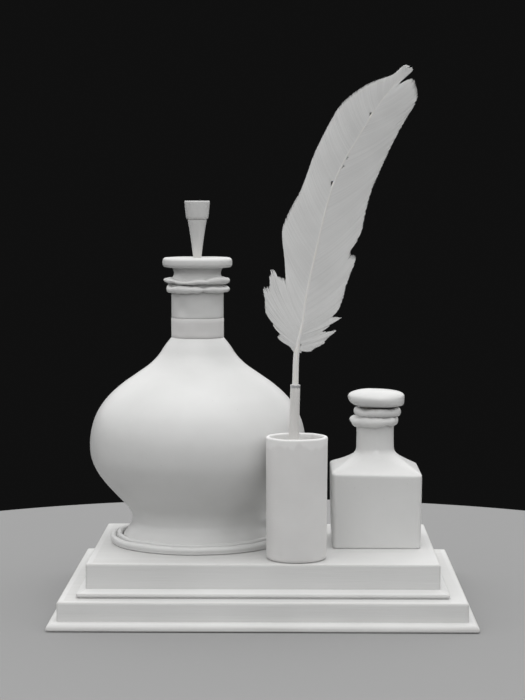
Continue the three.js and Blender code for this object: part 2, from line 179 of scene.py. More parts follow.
def spun(rows, around=96, shift=None, closed=False):
    """A turned shape from rows of (radius, height), up its outside and back down its inside."""
    rings = []
    for radius, height in rows:
        if radius < 1e-6:
            rings.append([(0, 0, height)])
            continue
        ring = []
        for step in range(around):
            angle = math.tau * step / around
            out, up = shift(angle, radius, height) if shift else (radius, height)
            ring.append((out * math.cos(angle), out * math.sin(angle), up))
        rings.append(ring)
    return skinned(rings, closed)


def rounded_square(half_x, half_y, height, corner, steps=6):
    """A rectangle of points with rounded corners at one height."""
    ring = []
    for turn, (side_x, side_y) in enumerate(((1, 1), (-1, 1), (-1, -1), (1, -1))):
        for step in range(steps + 1):
            angle = math.radians(90 * turn + 90 * step / steps)
            x = side_x * (half_x - corner) + corner * math.cos(angle)
            y = side_y * (half_y - corner) + corner * math.sin(angle)
            ring.append((x, y, height))
    return ring


# ---- Materials --------------------------------------------------------------------------------

NOISE, CELLS, MATHS = "ShaderNodeTexNoise", "ShaderNodeTexVoronoi", "ShaderNodeMath"
MIX, MAPPED, REMAP = "ShaderNodeMix", "ShaderNodeMapping", "ShaderNodeMapRange"


def colour(code):
    """The linear colour of an sRGB hex code."""
    parts = [int(code[i : i + 2], 16) / 255 for i in (1, 3, 5)]
    return [part / 12.92 if part <= 0.04045 else ((part + 0.055) / 1.055) ** 2.4 for part in parts] + [1.0]


def add_node(tree, kind, settings=None, inputs=None):
    """Adds a node with its settings, and values or links for its inputs."""
    made = tree.nodes.new(kind)
    for key, value in (settings or {}).items():
        setattr(made, key, value)
    for key, value in (inputs or {}).items():
        if isinstance(value, bpy.types.NodeSocket):
            tree.links.new(value, made.inputs[key])
        else:
            made.inputs[key].default_value = value
    return made


def new_material(name, **inputs):
    """A material with one Principled shader: the material, its tree, shader and Object coordinates."""
    material = bpy.data.materials.new(name)
    material.use_nodes = True
    tree = material.node_tree
    tree.nodes.clear()
    sockets = {key.replace("_", " "): value for key, value in inputs.items()}
    shader = add_node(tree, "ShaderNodeBsdfPrincipled", inputs=sockets)
    add_node(tree, "ShaderNodeOutputMaterial", inputs={"Surface": shader.outputs["BSDF"]})
    return material, tree, shader, add_node(tree, "ShaderNodeTexCoord").outputs["Object"]


def tinted(tree, shader, factor, low, high):
    """Base colour that runs from low to high with a factor, each a hex code or a colour's socket."""
    low, high = (colour(end) if isinstance(end, str) else end for end in (low, high))
    mix = add_node(tree, MIX, {"data_type": "RGBA"}, {0: factor, 6: low, 7: high})
    tree.links.new(mix.outputs[2], shader.inputs["Base Color"])
    return mix.outputs[2]


def embossed(tree, shader, height, depth_mm):
    """Relief of this depth in millimetres."""
    sockets = {"Height": height, "Distance": depth_mm * MM, "Strength": 1.0}
    bump = add_node(tree, "ShaderNodeBump", inputs=sockets)
    tree.links.new(bump.outputs["Normal"], shader.inputs["Normal"])


def per_metre(size_mm):
    """The texture scale whose features are this many millimetres across."""
    return 1 / (size_mm * MM)


def painted_wood():
    """Poplar under satin white oil paint, laid on with a brush along each board: the eye gets long
    faint strokes, a little grain telegraphing through, and bare-rubbed edges a shade darker."""
    material, tree, shader, spot = new_material("painted_poplar", Roughness=0.5, Specular_IOR_Level=0.4)
    uv = add_node(tree, "ShaderNodeUVMap", {"uv_map": "along"}).outputs["UV"]
    layers = []
    for squeeze, size, more in (
        (0.03, 1.1, {"Detail": 4, "Roughness": 0.6}),
        (0.05, 4.5, {"Detail": 3, "Distortion": 0.6}),
    ):
        along = add_node(tree, MAPPED, inputs={"Vector": uv, "Scale": (squeeze, 1, 1)}).outputs["Vector"]
        inputs = {"Vector": along, "Scale": per_metre(size), **more}
        layers.append(add_node(tree, NOISE, {"noise_dimensions": "2D"}, inputs).outputs["Fac"])
    strokes, grain = layers
    cloudy = {"Vector": spot, "Scale": per_metre(38), "Detail": 2}
    cloud = add_node(tree, NOISE, inputs=cloudy).outputs["Fac"]
    patchy = add_node(tree, REMAP, inputs={"Value": cloud, "From Min": 0.3, "From Max": 0.7, "To Max": 0.6})
    paint = tinted(tree, shader, patchy.outputs["Result"], PAINT_LIGHT, PAINT_DEEP)
    wear = add_node(tree, "ShaderNodeAttribute", {"attribute_name": "wear"}).outputs["Fac"]
    broken = add_node(tree, MATHS, {"operation": "MULTIPLY", "use_clamp": True}, {0: wear, 1: grain})
    tinted(tree, shader, broken.outputs["Value"], paint, PAINT_WORN)
    relief = add_node(tree, MATHS, {"operation": "MULTIPLY_ADD"}, {0: grain, 1: 1.3, 2: strokes})
    embossed(tree, shader, relief.outputs["Value"], 0.075)
    return material


def glazed_porcelain(name, light, deep, roughness):
    """White porcelain under a satin glaze: a soft broad highlight over a skin that ripples very
    slightly, cloudier where the glaze ran thick, with a few iron specks in the body."""
    material, tree, shader, spot = new_material(
        name, Roughness=roughness, IOR=1.5, Specular_IOR_Level=0.45, Coat_Weight=0.15, Coat_Roughness=0.25
    )
    cloudy = {"Vector": spot, "Scale": per_metre(22), "Detail": 3, "Roughness": 0.55}
    glaze = tinted(tree, shader, add_node(tree, NOISE, inputs=cloudy).outputs["Fac"], light, deep)
    specks = add_node(tree, CELLS, inputs={"Vector": spot, "Scale": per_metre(5.5)}).outputs["Distance"]
    dot = add_node(tree, REMAP, inputs={"Value": specks, "From Min": 0.05, "From Max": 0.02, "To Max": 0.35})
    tinted(tree, shader, dot.outputs["Result"], glaze, GLAZE_SPECK)
    ripple = add_node(tree, NOISE, inputs={"Vector": spot, "Scale": per_metre(7), "Detail": 2})
    embossed(tree, shader, ripple.outputs["Fac"], 0.1)
    return material


def bisque(name, highlight_from=None):
    """Unglazed porcelain left from the wheel: chalk-matt, with fine turning lines round it, a faint
    sandy grain, and above a height in metres a painted highlight: a whiter band that runs down unevenly."""
    material, tree, shader, spot = new_material(name, Roughness=0.82, Specular_IOR_Level=0.3)
    cloudy = {"Vector": spot, "Scale": per_metre(14), "Detail": 4}
    cloud = add_node(tree, NOISE, inputs=cloudy).outputs["Fac"]
    clay = tinted(tree, shader, cloud, BISQUE_LIGHT, BISQUE_DEEP)
    # Painted highlight: a whiter band under the rim, running down in uneven tongues.
    if highlight_from is not None:
        runs_at = add_node(tree, MAPPED, inputs={"Vector": spot, "Scale": (1, 1, 0.25)}).outputs["Vector"]
        runny = {"Vector": runs_at, "Scale": per_metre(7), "Detail": 2}
        runs = add_node(tree, NOISE, inputs=runny).outputs["Fac"]
        height = add_node(tree, "ShaderNodeSeparateXYZ", inputs={0: spot}).outputs["Z"]
        edge = add_node(tree, MATHS, {"operation": "MULTIPLY_ADD"}, {0: runs, 1: RIM_HIGHLIGHT_RUN, 2: height})
        low = highlight_from + RIM_HIGHLIGHT_RUN / 2
        band = {"Value": edge.outputs["Value"], "From Min": low, "From Max": low + RIM_HIGHLIGHT_EDGE, "To Max": 0.45}
        rim_highlight = add_node(tree, REMAP, {"interpolation_type": "SMOOTHSTEP"}, band)
        tinted(tree, shader, rim_highlight.outputs["Result"], clay, RIM_HIGHLIGHT_WHITE)
    lines_at = add_node(tree, MAPPED, inputs={"Vector": spot, "Scale": (0.02, 0.02, 1)}).outputs["Vector"]
    turned = {"Vector": lines_at, "Scale": per_metre(0.9), "Detail": 3, "Roughness": 0.7}
    lines = add_node(tree, NOISE, inputs=turned).outputs["Fac"]
    sandy = {"Vector": spot, "Scale": per_metre(0.5), "Detail": 2}
    sand = add_node(tree, NOISE, inputs=sandy).outputs["Fac"]
    relief = add_node(tree, MATHS, {"operation": "MULTIPLY_ADD"}, {0: sand, 1: 0.35, 2: lines})
    embossed(tree, shader, relief.outputs["Value"], 0.05)
    return material


def cork():
    """Natural cork: dry and matt, tan cells with darker woody pores."""
    material, tree, shader, spot = new_material("natural_cork", Roughness=0.9, Specular_IOR_Level=0.25)
    cells = add_node(tree, CELLS, inputs={"Vector": spot, "Scale": per_metre(1.3)})
    pitted = {"Vector": spot, "Scale": per_metre(2.2), "Detail": 5}
    pores = add_node(tree, NOISE, inputs=pitted).outputs["Fac"]
    edge = add_node(tree, REMAP, inputs={"Value": pores, "From Min": 0.56, "From Max": 0.68})
    tinted(tree, shader, edge.outputs["Result"], CORK_CELL, CORK_PORE)
    embossed(tree, shader, cells.outputs["Distance"], 0.15)
    return material


def grained(name, tones, size_mm, depth_mm, squeeze=1, more=None, **inputs):
    """A material in two tones with one grain. A squeeze draws the grain out upwards, as fibres or as
    the lines of drawn metal."""
    material, tree, shader, spot = new_material(name, **inputs)
    if squeeze != 1:
        spot = add_node(tree, MAPPED, inputs={"Vector": spot, "Scale": (1, 1, squeeze)}).outputs["Vector"]
    grown = {"Vector": spot, "Scale": per_metre(size_mm), "Detail": 3, **(more or {})}
    grain = add_node(tree, NOISE, inputs=grown).outputs["Fac"]
    tinted(tree, shader, grain, *tones)
    embossed(tree, shader, grain, depth_mm)
    return material


def pale_wood():
    """Sanded lime wood, end grain upwards: matt, with faint rings round the bore."""
    shine = {"Roughness": 0.72, "Specular_IOR_Level": 0.3}
    return grained("sanded_lime_wood", (WOOD_LIGHT, WOOD_DEEP), 3, 0.05, more={"Distortion": 1.2}, **shine)


def pressed_felt():
    """Wool felt: no shine at all, a short nap that catches light at a grazing angle."""
    nap = {"Roughness": 1.0, "Specular_IOR_Level": 0.1, "Sheen_Weight": 0.5, "Sheen_Roughness": 0.6}
    return grained("pressed_felt", (FELT_DEEP, FELT_LIGHT), 0.7, 0.25, more={"Detail": 5}, **nap)


def metal(name, base, roughness, grain_mm):
    """Bare metal: a clear sheen, dulled along the pen by the fine lines of drawing and rolling."""
    return grained(name, (base, METAL_DEEP), grain_mm, 0.01, 0.05, Metallic=1.0, Roughness=roughness)


def horn():
    """Bleached horn, turned and polished by the hand: a low, wet-looking sheen over long, cloudy fibres."""
    cloudy = {"Detail": 4, "Distortion": 0.5}
    shine = {"Roughness": 0.42, "IOR": 1.54, "Specular_IOR_Level": 0.4}
    return grained("bleached_horn", (HORN_LIGHT, HORN_DEEP), 1.4, 0.02, 0.12, cloudy, **shine)


def quill_keratin():
    """The feather's shaft, clear keratin over white pith: a slightly oily sheen over fine long fibres."""
    shine = {"Roughness": 0.38, "IOR": 1.54, "Specular_IOR_Level": 0.4}
    pith = {"Subsurface_Weight": 0.15, "Subsurface_Radius": (0.001, 0.0008, 0.0006)}
    return grained("quill_keratin", (QUILL_LIGHT, QUILL_DEEP), 0.9, 0.02, 0.06, **shine, **pith)


def feather_barbs():
    """White goose web: dull silk. Each barb is a hair lighter or darker than the next, and painted
    sheen lies in soft bands across the web, lighter and darker where the barbs change angle."""
    material, tree, shader, spot = new_material(
        "goose_feather", Roughness=0.78, Specular_IOR_Level=0.25, Sheen_Weight=0.25, Sheen_Roughness=0.45
    )
    # Painted sheen: soft lighter and darker bands across the web, mixed with each barb's own tone.
    sheen_bands = {"Vector": spot, "Scale": per_metre(16), "Detail": 3}
    band = add_node(tree, NOISE, inputs=sheen_bands).outputs["Fac"]
    strand = add_node(tree, "ShaderNodeAttribute", {"attribute_name": "strand"}).outputs["Fac"]
    mixed = {"operation": "MULTIPLY_ADD", "use_clamp": True}
    strand_tone_and_sheen = add_node(tree, MATHS, mixed, {0: strand, 1: 0.45, 2: band})
    tinted(tree, shader, strand_tone_and_sheen.outputs["Value"], FEATHER_LIGHT, FEATHER_DEEP)
    return material


PAINT_LIGHT, PAINT_DEEP, PAINT_WORN = "#d0d0cf", "#c5c5c4", "#a9a7a4"
GLAZE_LIGHT, GLAZE_DEEP, GLAZE_SPECK = "#d4d4d3", "#c9c9c8", "#8f8d8a"
# The third colour in the next row is a painted highlight, for the whiter band under the pot's rim.
BISQUE_LIGHT, BISQUE_DEEP, RIM_HIGHLIGHT_WHITE = "#d9d8d7", "#cfcecd", "#e9e9e8"
RIM_HIGHLIGHT_RUN, RIM_HIGHLIGHT_EDGE = 14 * MM, 2.4 * MM  # how far the painted highlight's runs reach and how soft their edge is
CORK_CELL, CORK_PORE = "#cfcbc4", "#a49c91"
WOOD_LIGHT, WOOD_DEEP = "#d8d4cb", "#c6bfb2"
FELT_LIGHT, FELT_DEEP = "#a2a2a1", "#7f7f7e"
METAL_DEEP, NIB_STEEL, COLLAR_SILVER, SCREW_BRIGHT = "#9d9d9f", "#c9c9cb", "#f0f0f0", "#b8b8ba"
HORN_LIGHT, HORN_DEEP = "#dcdbd9", "#cbc9c6"
QUILL_LIGHT, QUILL_DEEP = "#ecebe9", "#e0deda"
FEATHER_LIGHT, FEATHER_DEEP = "#ececeb", "#dcdcdb"
DOME, ROOM, FLOOR, FLOOR_RADIUS = "#ffffff", "#0e0e0e", "#8a8a8a", 340
DOME_POWER = 1.22
CAMERA_PLACE, LENS_MM, SENSOR_MM = (0.01355, -0.99963, 0.2139), 97.7, 36
CAMERA_DOWN, CAMERA_LEFT = 4.588, 0.835  # degrees from level and from straight back
DOME_STARTS, DOME_FULL = 0.11, 0.26  # sines of angles above the horizon

PAINTED_WOOD = painted_wood()
PORCELAIN = glazed_porcelain("satin_porcelain", GLAZE_LIGHT, GLAZE_DEEP, 0.42)
STOPPER_PORCELAIN = glazed_porcelain("stopper_porcelain", GLAZE_LIGHT, GLAZE_DEEP, 0.36)
# From this height up, the pot carries a painted highlight as a whiter band.
BISQUE = bisque("turned_bisque", TABLE + 57.5 * MM)
SLEEVE_BISQUE = bisque("sleeve_bisque")
CORK = cork()
PALE_WOOD = pale_wood()
FELT = pressed_felt()
NIB_METAL = metal("rolled_nib_steel", NIB_STEEL, 0.32, 0.25)
COLLAR_METAL = metal("satin_silver", COLLAR_SILVER, 0.55, 0.3)
SCREW_METAL = metal("turned_screw_steel", SCREW_BRIGHT, 0.35, 0.2)
HORN = horn()
QUILL = quill_keratin()
FEATHER = feather_barbs()

# ---- Camera, floor and light ------------------------------------------------------------------


def soft_light(name, place, aim, size, power):
    light = bpy.data.lights.new(name, "AREA")
    light.shape = "DISK"
    light.size = size
    light.energy = power
    holder = bpy.data.objects.new(name, light)
    holder.location = place
    holder.rotation_euler = (Vector(aim) - Vector(place)).to_track_quat("-Z", "Y").to_euler()
    scene.collection.objects.link(holder)


def lit_dome():
    """An even white dome overhead that fades to a dark room below head height."""
    world = bpy.data.worlds.new("studio")
    world.use_nodes = True
    tree = world.node_tree
    tree.nodes.clear()
    way = add_node(tree, "ShaderNodeTexCoord").outputs["Object"]
    height = add_node(tree, "ShaderNodeSeparateXYZ", inputs={0: way}).outputs["Z"]
    rising = {"Value": height, "From Min": DOME_STARTS, "From Max": DOME_FULL}
    fade = add_node(tree, REMAP, {"interpolation_type": "SMOOTHSTEP"}, rising).outputs["Result"]
    tone = add_node(tree, MIX, {"data_type": "RGBA"}, {0: fade, 6: colour(ROOM), 7: colour(DOME)}).outputs[2]
    light = add_node(tree, "ShaderNodeBackground", inputs={"Color": tone, "Strength": DOME_POWER})
    add_node(tree, "ShaderNodeOutputWorld", inputs={"Surface": light.outputs["Background"]})
    scene.world = world


def build_studio():
    lens = bpy.data.cameras.new("camera")
    lens.sensor_width = SENSOR_MM
    lens.lens = LENS_MM
    camera = bpy.data.objects.new("camera", lens)
    camera.location = CAMERA_PLACE
    camera.rotation_euler = (math.radians(90 - CAMERA_DOWN), 0, math.radians(CAMERA_LEFT))
    scene.collection.objects.link(camera)
    scene.camera = camera

    floor_material = new_material("matt_floor_paper", Base_Color=colour(FLOOR), Roughness=0.95)[0]
    points = circle(FLOOR_RADIUS, 0, 128)
    piece("floor", points, [tuple(range(len(points)))], floor_material)

    lit_dome()
    scene.view_settings.view_transform = "Standard"
    soft_light("overhead", (0.0, -0.3, 1.4), (0, 0, 0.08), 1.2, 5)
    soft_light("front_fill", (0.1, -1.8, 0.75), (0, 0, 0.16), 1.2, 1.6)


# ---- Stand ------------------------------------------------------------------------------------

BLOCK_HALF_X = (BLOCK_HIGH.x - BLOCK_LOW.x) / 2 / MM
BLOCK_HALF_Y = (BLOCK_HIGH.y - BLOCK_LOW.y) / 2 / MM
BOARD_CORNER, CORNER_STEPS = 1.0, 5  # rounding of a board's upright corners
FELT_GAP = 0.3  # between the felt pad and the recess that it is glued in


def along_uv(mesh):
    """A UV map in metres whose U runs along each board face's length, so that strokes follow it."""
    layer = mesh.uv_layers.new(name="along")
    for face in mesh.polygons:
        normal = face.normal
        for loop in face.loop_indices:
            spot = mesh.vertices[mesh.loops[loop].vertex_index].co
            if abs(normal.x) > abs(normal.y) and abs(normal.x) > abs(normal.z):
                layer.data[loop].uv = (spot.y + 3, spot.z)
            elif abs(normal.y) > abs(normal.z):
                layer.data[loop].uv = (spot.x, spot.z + 1)
            else:
                layer.data[loop].uv = (spot.x, spot.y + 2)


def span(node):
    """A board's bottom and top, and how far it stands out past the top block."""
    low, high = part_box(node)
    return low.z / MM, high.z / MM, high.x / MM - BLOCK_HALF_X


def board_rings(edge, corner, steps):
    """Rings round the stand, from rows of (how far out past the top block, height)."""
    return [rounded_square(BLOCK_HALF_X + out, BLOCK_HALF_Y + out, up, corner, steps) for out, up in edge]


def moulded_board(name, node, edge):
    """A board with a moulded edge. Its rows are (how far it stands out past the top block, height,
    wear from 0 to 1), up its side."""
    points, faces = capped(board_rings([row[:2] for row in edge], BOARD_CORNER, CORNER_STEPS))
    board = piece(name, points, faces, PAINTED_WOOD, sharp=50)
    wear = board.data.attributes.new("wear", "FLOAT", "POINT")
    half = CORNER_STEPS / 2
    corner_wear = [1 - abs(step - half) / half for step in range(CORNER_STEPS + 1)] * 4
    wear.data.foreach_set("value", [max(row[2], 0.6 * corner) for row in edge for corner in corner_wear])
    along_uv(board.data)
    finish_piece(board, "stand", "painted_wood", node)


def eased(out, up, size, start, end, steps=4):
    """An eased edge, worn most at its middle."""
    rows = arc(out, up, size, start, end, steps)
    return [(x, z, 1 - abs(2 * i / steps - 1)) for i, (x, z) in enumerate(rows)]


def build_stand():
    low, high, out = span("stand_base_slab")
    _, felt_top, felt_out = span("stand_felt_pad")
    recess = felt_out + FELT_GAP
    nose_low, nose_deep = 0.9, 3.2  # the small round under the slab's edge, and the depth of its top one
    tall = high - low - nose_low
    rows = [(recess, felt_top + 0.2, 0), (recess, low, 0)]
    rows += eased(out - nose_low, low + nose_low, nose_low, -90, 0)
    top_round = arc(0, 0, 1, 12, 90, 8)
    rows += [(out - nose_deep * (1 - x), low + nose_low + tall * z, 1 - z) for x, z in top_round]
    moulded_board("slab_board", "stand_base_slab", rows)
    edge = [(recess - 0.6, 0), (recess - 0.35, 0.2), (recess - 0.35, 0.9), (recess - 0.6, felt_top)]
    pad = piece("felt_pad", *capped(board_rings(edge, 2.0, 6)), FELT, sharp=50)
    finish_piece(pad, "stand", "felt", "stand_felt_pad")
    for number in range(1, 5):
        screw = frame["nodes"][f"stand_screw_{number}"]
        screw.data.materials.clear()
        screw.data.materials.append(SCREW_METAL)

    low, high, out = span("stand_lower_plinth")
    rows = [(out, low, 0.1), (out, high - 1.6, 0), *eased(out - 1, high - 1, 1, 0, 90), (out - 3, high, 0)]
    moulded_board("plinth_board", "stand_lower_plinth", rows)

    low, high, out = span("stand_bevel_step")
    lip = low + 2.3
    slope = math.degrees(math.atan2(out, high - lip))
    rows = [(out - 1.1, low, 0), (out - 1.1, low + 0.75, 0), (out - 0.15, low + 0.9, 0.3)]
    rows += [(out, low + 1.1, 0.1), (out, lip - 0.7, 0), *eased(out - 0.8, lip - 0.5, 0.8, 0, slope)]
    rows += [(share * out, high - share * (high - lip), 0) for share in (0.7, 0.35)] + [(0, high, 0)]
    moulded_board("bevel_board", "stand_bevel_step", rows)

    low, high, _ = span("stand_top_block")
    rows = [(0, low, 0.1), (0, low + 1.5, 0), (0, high - 1.4, 0), *eased(-0.8, high - 0.8, 0.8, 0, 90)]
    moulded_board("top_board", "stand_top_block", [*rows, (-3, high, 0)])


# ---- Flask ------------------------------------------------------------------------------------

BELLY = [
    (39.8, 3.8), (38.3, 6), (36.2, 9.2), (35.2, 12.6), (36.9, 18), (43, 24.8), (49, 31.4),
    (53.8, 38), (56.8, 45), (57.5, 52.5), (56.4, 61.5), (53.2, 70), (47.8, 77.5), (40.7, 84),
    (33, 89.5), (25.8, 94.6), (21, 99.4), (17.2, 105), (14, 109),
]
FLASK_WALL = 2.6
SLEEVE_LOW, SLEEVE_HIGH = 109, 119.6
NECK_RADIUS, NECK_BORE = 13.8, 9.8
LIP_MIDDLE, LIP_HALF, LIP_RADIUS = 148.9, 2.65, 18.5


FOOT_LEVEL = 4  # the height up to which a piece's unevenness grows from none, so that it stands level
RING_SEAT = 0.2  # how deep a ring is set into its neck


def hand_thrown(seed, out, up, lobes=1.3):
    """A shift for a turned piece that leaves it as unevenly round as a hand-thrown one, and level
    where it stands."""

    def shift(angle, radius, height):
        slow = rough(seed, angle, height * 0.02, lobes)
        free = min(1.0, max(0.0, height / FOOT_LEVEL))
        return radius + out * slow, height + free * up * rough(seed + 7, angle, 0.0, lobes)

    return shift


def dented(seed, out, up, dents):
    """Hand-thrown, with thumb dents: (angle in degrees, height, spread round, spread up, depth). A
    dent of less than nothing is a swelling."""
    thrown = hand_thrown(seed, out, up)

    def shift(angle, radius, height):
        across, along = thrown(angle, radius, height)
        for turn, level, wide, tall, deep in dents:
            away = (math.degrees(angle) - turn + 180) % 360 - 180
            across -= deep * math.exp(-((away / wide) ** 2) - ((height - level) / tall) ** 2)
        return across, along

    return shift


def thumbed(marks, seed, swell=0.1, sway=0.15):
    """How a ring laid on by hand differs round its neck, as (reach, lift, thickness) to add at an
    angle. Marks are (angle and spread in degrees, reach, lift, thickness)."""

    def at(angle):
        reach = sway * rough(seed, angle, 0, 3.1)
        lift = sway * (rough(seed + 3, angle, 0, 2.2) + 0.5 * rough(seed + 9, angle, 0, 6.5))
        thick = swell * rough(seed + 5, angle, 0, 4.6)
        for turn, spread, out, up, more in marks:
            away = (math.degrees(angle) - turn + 180) % 360 - 180
            near = math.exp(-((away / spread) ** 2))
            reach, lift, thick = reach + out * near, lift + up * near, thick + more * near
        return reach, lift, thick

    return at


def laid_ring(name, node, body, place, neck, radius, height, size, uneven):
    """A trail of clay laid round a neck, pinched in some places and swollen in others."""

    def shift(angle, share, side):
        reach, lift, thick = uneven(angle)
        half = size * (1 + thick)
        return neck - RING_SEAT + (radius + reach - neck + RING_SEAT) * share, height + lift + half * side

    rounded = [(1 - size * (1 - x) / (radius - neck), z) for x, z in arc(0, 0, 1, -78, 78, 12)]
    # A row at nothing would close to a point, so the two rows in the neck are a hair away from it.
    rows = [(1e-4, -1), *rounded, (1e-4, 1)]
    made = piece(name, *spun(rows, 144, shift, closed=True), PORCELAIN, place, sharp=70)
    finish_piece(made, body, "flask_glaze", node)


UPPER_MARKS = [(183, 13, 0.7, 0.5, -0.2), (219, 9, -0.1, 0.35, -0.1), (246, 24, 0, -0.75, -0.4)]
UPPER_MARKS += [(322, 28, 0.1, 0.3, 0.35), (288, 5, 0.15, -0.3, -0.3), (60, 30, 0.2, 0.2, 0.15)]
LOWER_MARKS = [(180, 20, -0.6, 0.1, 0.3), (214, 7, -0.1, -0.35, -0.15), (240, 22, 0.1, 0.2, 0.25)]
LOWER_MARKS += [(286, 6, -0.35, 0.15, -0.4), (345, 22, 0.3, -0.2, -0.1), (100, 40, -0.2, -0.2, 0.15)]
FLASK_DENTS = [(236, 125, 15, 3.6, 0.95), (216, 131, 10, 3, 0.5), (258, 121.5, 26, 1.6, 0.4)]
FLASK_DENTS += [(322, 127, 12, 4, 0.5), (5, 15, 35, 7, -1.3), (290, 113, 20, 2.2, 0.3)]
FLASK_DENTS += [(232, 112, 14, 2.5, 0.35), (300, 131, 16, 1.6, 0.3)]


def build_flask():
    seat = 1.6  # the height of the flask's foot over the stand
    rim_half = 1.7
    rim_middle = 47 - rim_half
    saucer = [(0, 0), (40, 0), (45.8, 0), (46.5, 0.5)]
    saucer += arc(rim_middle, 4.2 - rim_half, rim_half, -40, 160, 12)
    saucer += [(43.45, 2.75), *arc(41.9, 3.9, 1.4, -20, 180, 12)]
    saucer += [(40.6, 2.2), (40.4, 1.4), (20, 1.3), (0, 1.3)]
    turned = spun(saucer, 144, hand_thrown(2, 0.4, 0.4, 3.1))
    coaster = piece("coaster_dish", *turned, PORCELAIN, FLASK_PLACE)
    finish_piece(coaster, "stand", "flask_glaze", "flask_coaster")

    outside = [(0, 6.5), (28, 6.5), (32, 4), (34, seat), (39.2, seat), (39.8, seat + 0.5)]
    outside += flowing(BELLY)
    groove = NECK_RADIUS - 0.7  # the neck behind the sleeve
    bottom, top = LIP_MIDDLE - LIP_HALF, LIP_MIDDLE + LIP_HALF
    neck = [(groove, SLEEVE_LOW + 0.2), (groove, SLEEVE_HIGH), (NECK_RADIUS - 0.12, SLEEVE_HIGH + 0.05)]
    neck += [(NECK_RADIUS, SLEEVE_HIGH + 0.3), *((NECK_RADIUS, up) for up in range(121, 134, 2))]
    waist = flowing([(12.7, 141.8), (12.4, 143.4), (12.9, 145), (13.6, bottom + 0.05)], 4)
    turn = 2.0  # rounding of the lip's edge, which stays upright between
    lip = arc(LIP_RADIUS - turn, bottom + turn, turn, -85, 0, 8)
    lip += arc(LIP_RADIUS - turn, top - turn, turn, 8, 90, 8)
    mouth = [(NECK_BORE + 1.4, top), (NECK_BORE + 0.4, top - 0.3), (NECK_BORE, top - 1.1)]
    mouth += [(NECK_BORE, 130), (NECK_BORE, SLEEVE_LOW)]
    hollow = [(radius - FLASK_WALL, up) for radius, up in flowing(BELLY, 3) if 16 < up < 104]
    inside = [*reversed(hollow), (30, 14.4), (20, 14.2), (0, 14.2)]
    rows = outside + neck + [(NECK_RADIUS - 0.1, 140.4)] + waist + lip + mouth + inside
    worked = dented(4, 0.22, 0.18, FLASK_DENTS)
    body = piece("flask_vessel", *spun(rows, 160, worked), PORCELAIN, FLASK_PLACE, sharp=55)
    finish_piece(body, "flask", "flask_glaze", "flask_body")

    outer = NECK_RADIUS + 0.12
    low, high = SLEEVE_LOW + 0.25, SLEEVE_HIGH - 0.08
    band = [(groove + 0.05, low), (outer - 0.1, low), (outer, SLEEVE_LOW + 0.4)]
    band += [*((outer, up) for up in range(111, 119, 2)), (outer, SLEEVE_HIGH - 0.4)]
    band += [(outer - 0.2, high), (groove + 0.05, high)]
    sleeve = piece("neck_band", *spun(band, 128, worked, closed=True), SLEEVE_BISQUE, FLASK_PLACE)
    finish_piece(sleeve, "flask", "neck_sleeve", "flask_neck_sleeve")

    on_flask = ("flask", FLASK_PLACE, NECK_RADIUS)
    lower, upper = thumbed(LOWER_MARKS, 11, 0.2, 0.3), thumbed(UPPER_MARKS, 23, 0.2, 0.3)
    laid_ring("lower_trail", "flask_neck_ring_lower", *on_flask, 17.1, 134.8, 1.65, lower)
    laid_ring("upper_trail", "flask_neck_ring_upper", *on_flask, 17.3, 139.2, 1.45, upper)

    plug = [(0, 137), (8.4, 137), (8.9, 137.5), (9.4, top - 1.4), (8.9, top - 0.9), (4, top - 0.8)]
    plug += [(2.6, top - 0.9), (2.3, 145), (2.1, 139.5), (0, 139.5)]
    bung = piece("flask_cork", *spun(plug, 72, hand_thrown(31, 0.06, 0, 4)), CORK, FLASK_PLACE)
    finish_piece(bung, "flask_stopper", "cork", "flask_stopper_cork")

    stem = [(0, 140), (1.6, 140), (1.75, 140.4), (2.2, top + 0.4), (2.3, top + 1)]
    stem += flowing([(2.35, top + 1.4), (3.0, 158), (3.9, 164.5), (5.05, 171.3)], 4)
    stem += [(4.9, 171.6), (0, 171.6)]
    rod = piece("stopper_rod", *spun(stem, 64), STOPPER_PORCELAIN, FLASK_PLACE)
    finish_piece(rod, "flask_stopper", "stopper_glaze", "flask_stopper_stem")
    crown = [(0, 171.7), (5.2, 171.7), (5.7, 172.1)]
    crown += flowing([(5.95, 172.9), (6.35, 176.5), (6.75, 180.7)], 4)
    crown += arc(6.25, 181.0, 0.5, 10, 80, 4) + [(4, 181.5), (0, 181.4)]
    head = piece("stopper_crown", *spun(crown, 64), STOPPER_PORCELAIN, FLASK_PLACE)
    finish_piece(head, "flask_stopper", "stopper_glaze", "flask_stopper_head")


# ---- Pen pot ----------------------------------------------------------------------------------

POT_TOP, POT_FOOT, POT_WALL, POT_FLOOR, POT_HEIGHT = 15.75, 15.3, 2.1, 3, 62.7
PLUG_TOP, PLUG_BORE, PLUG_BORE_LOW, PEN_LOW = 36, 3.5, 5.8, 18


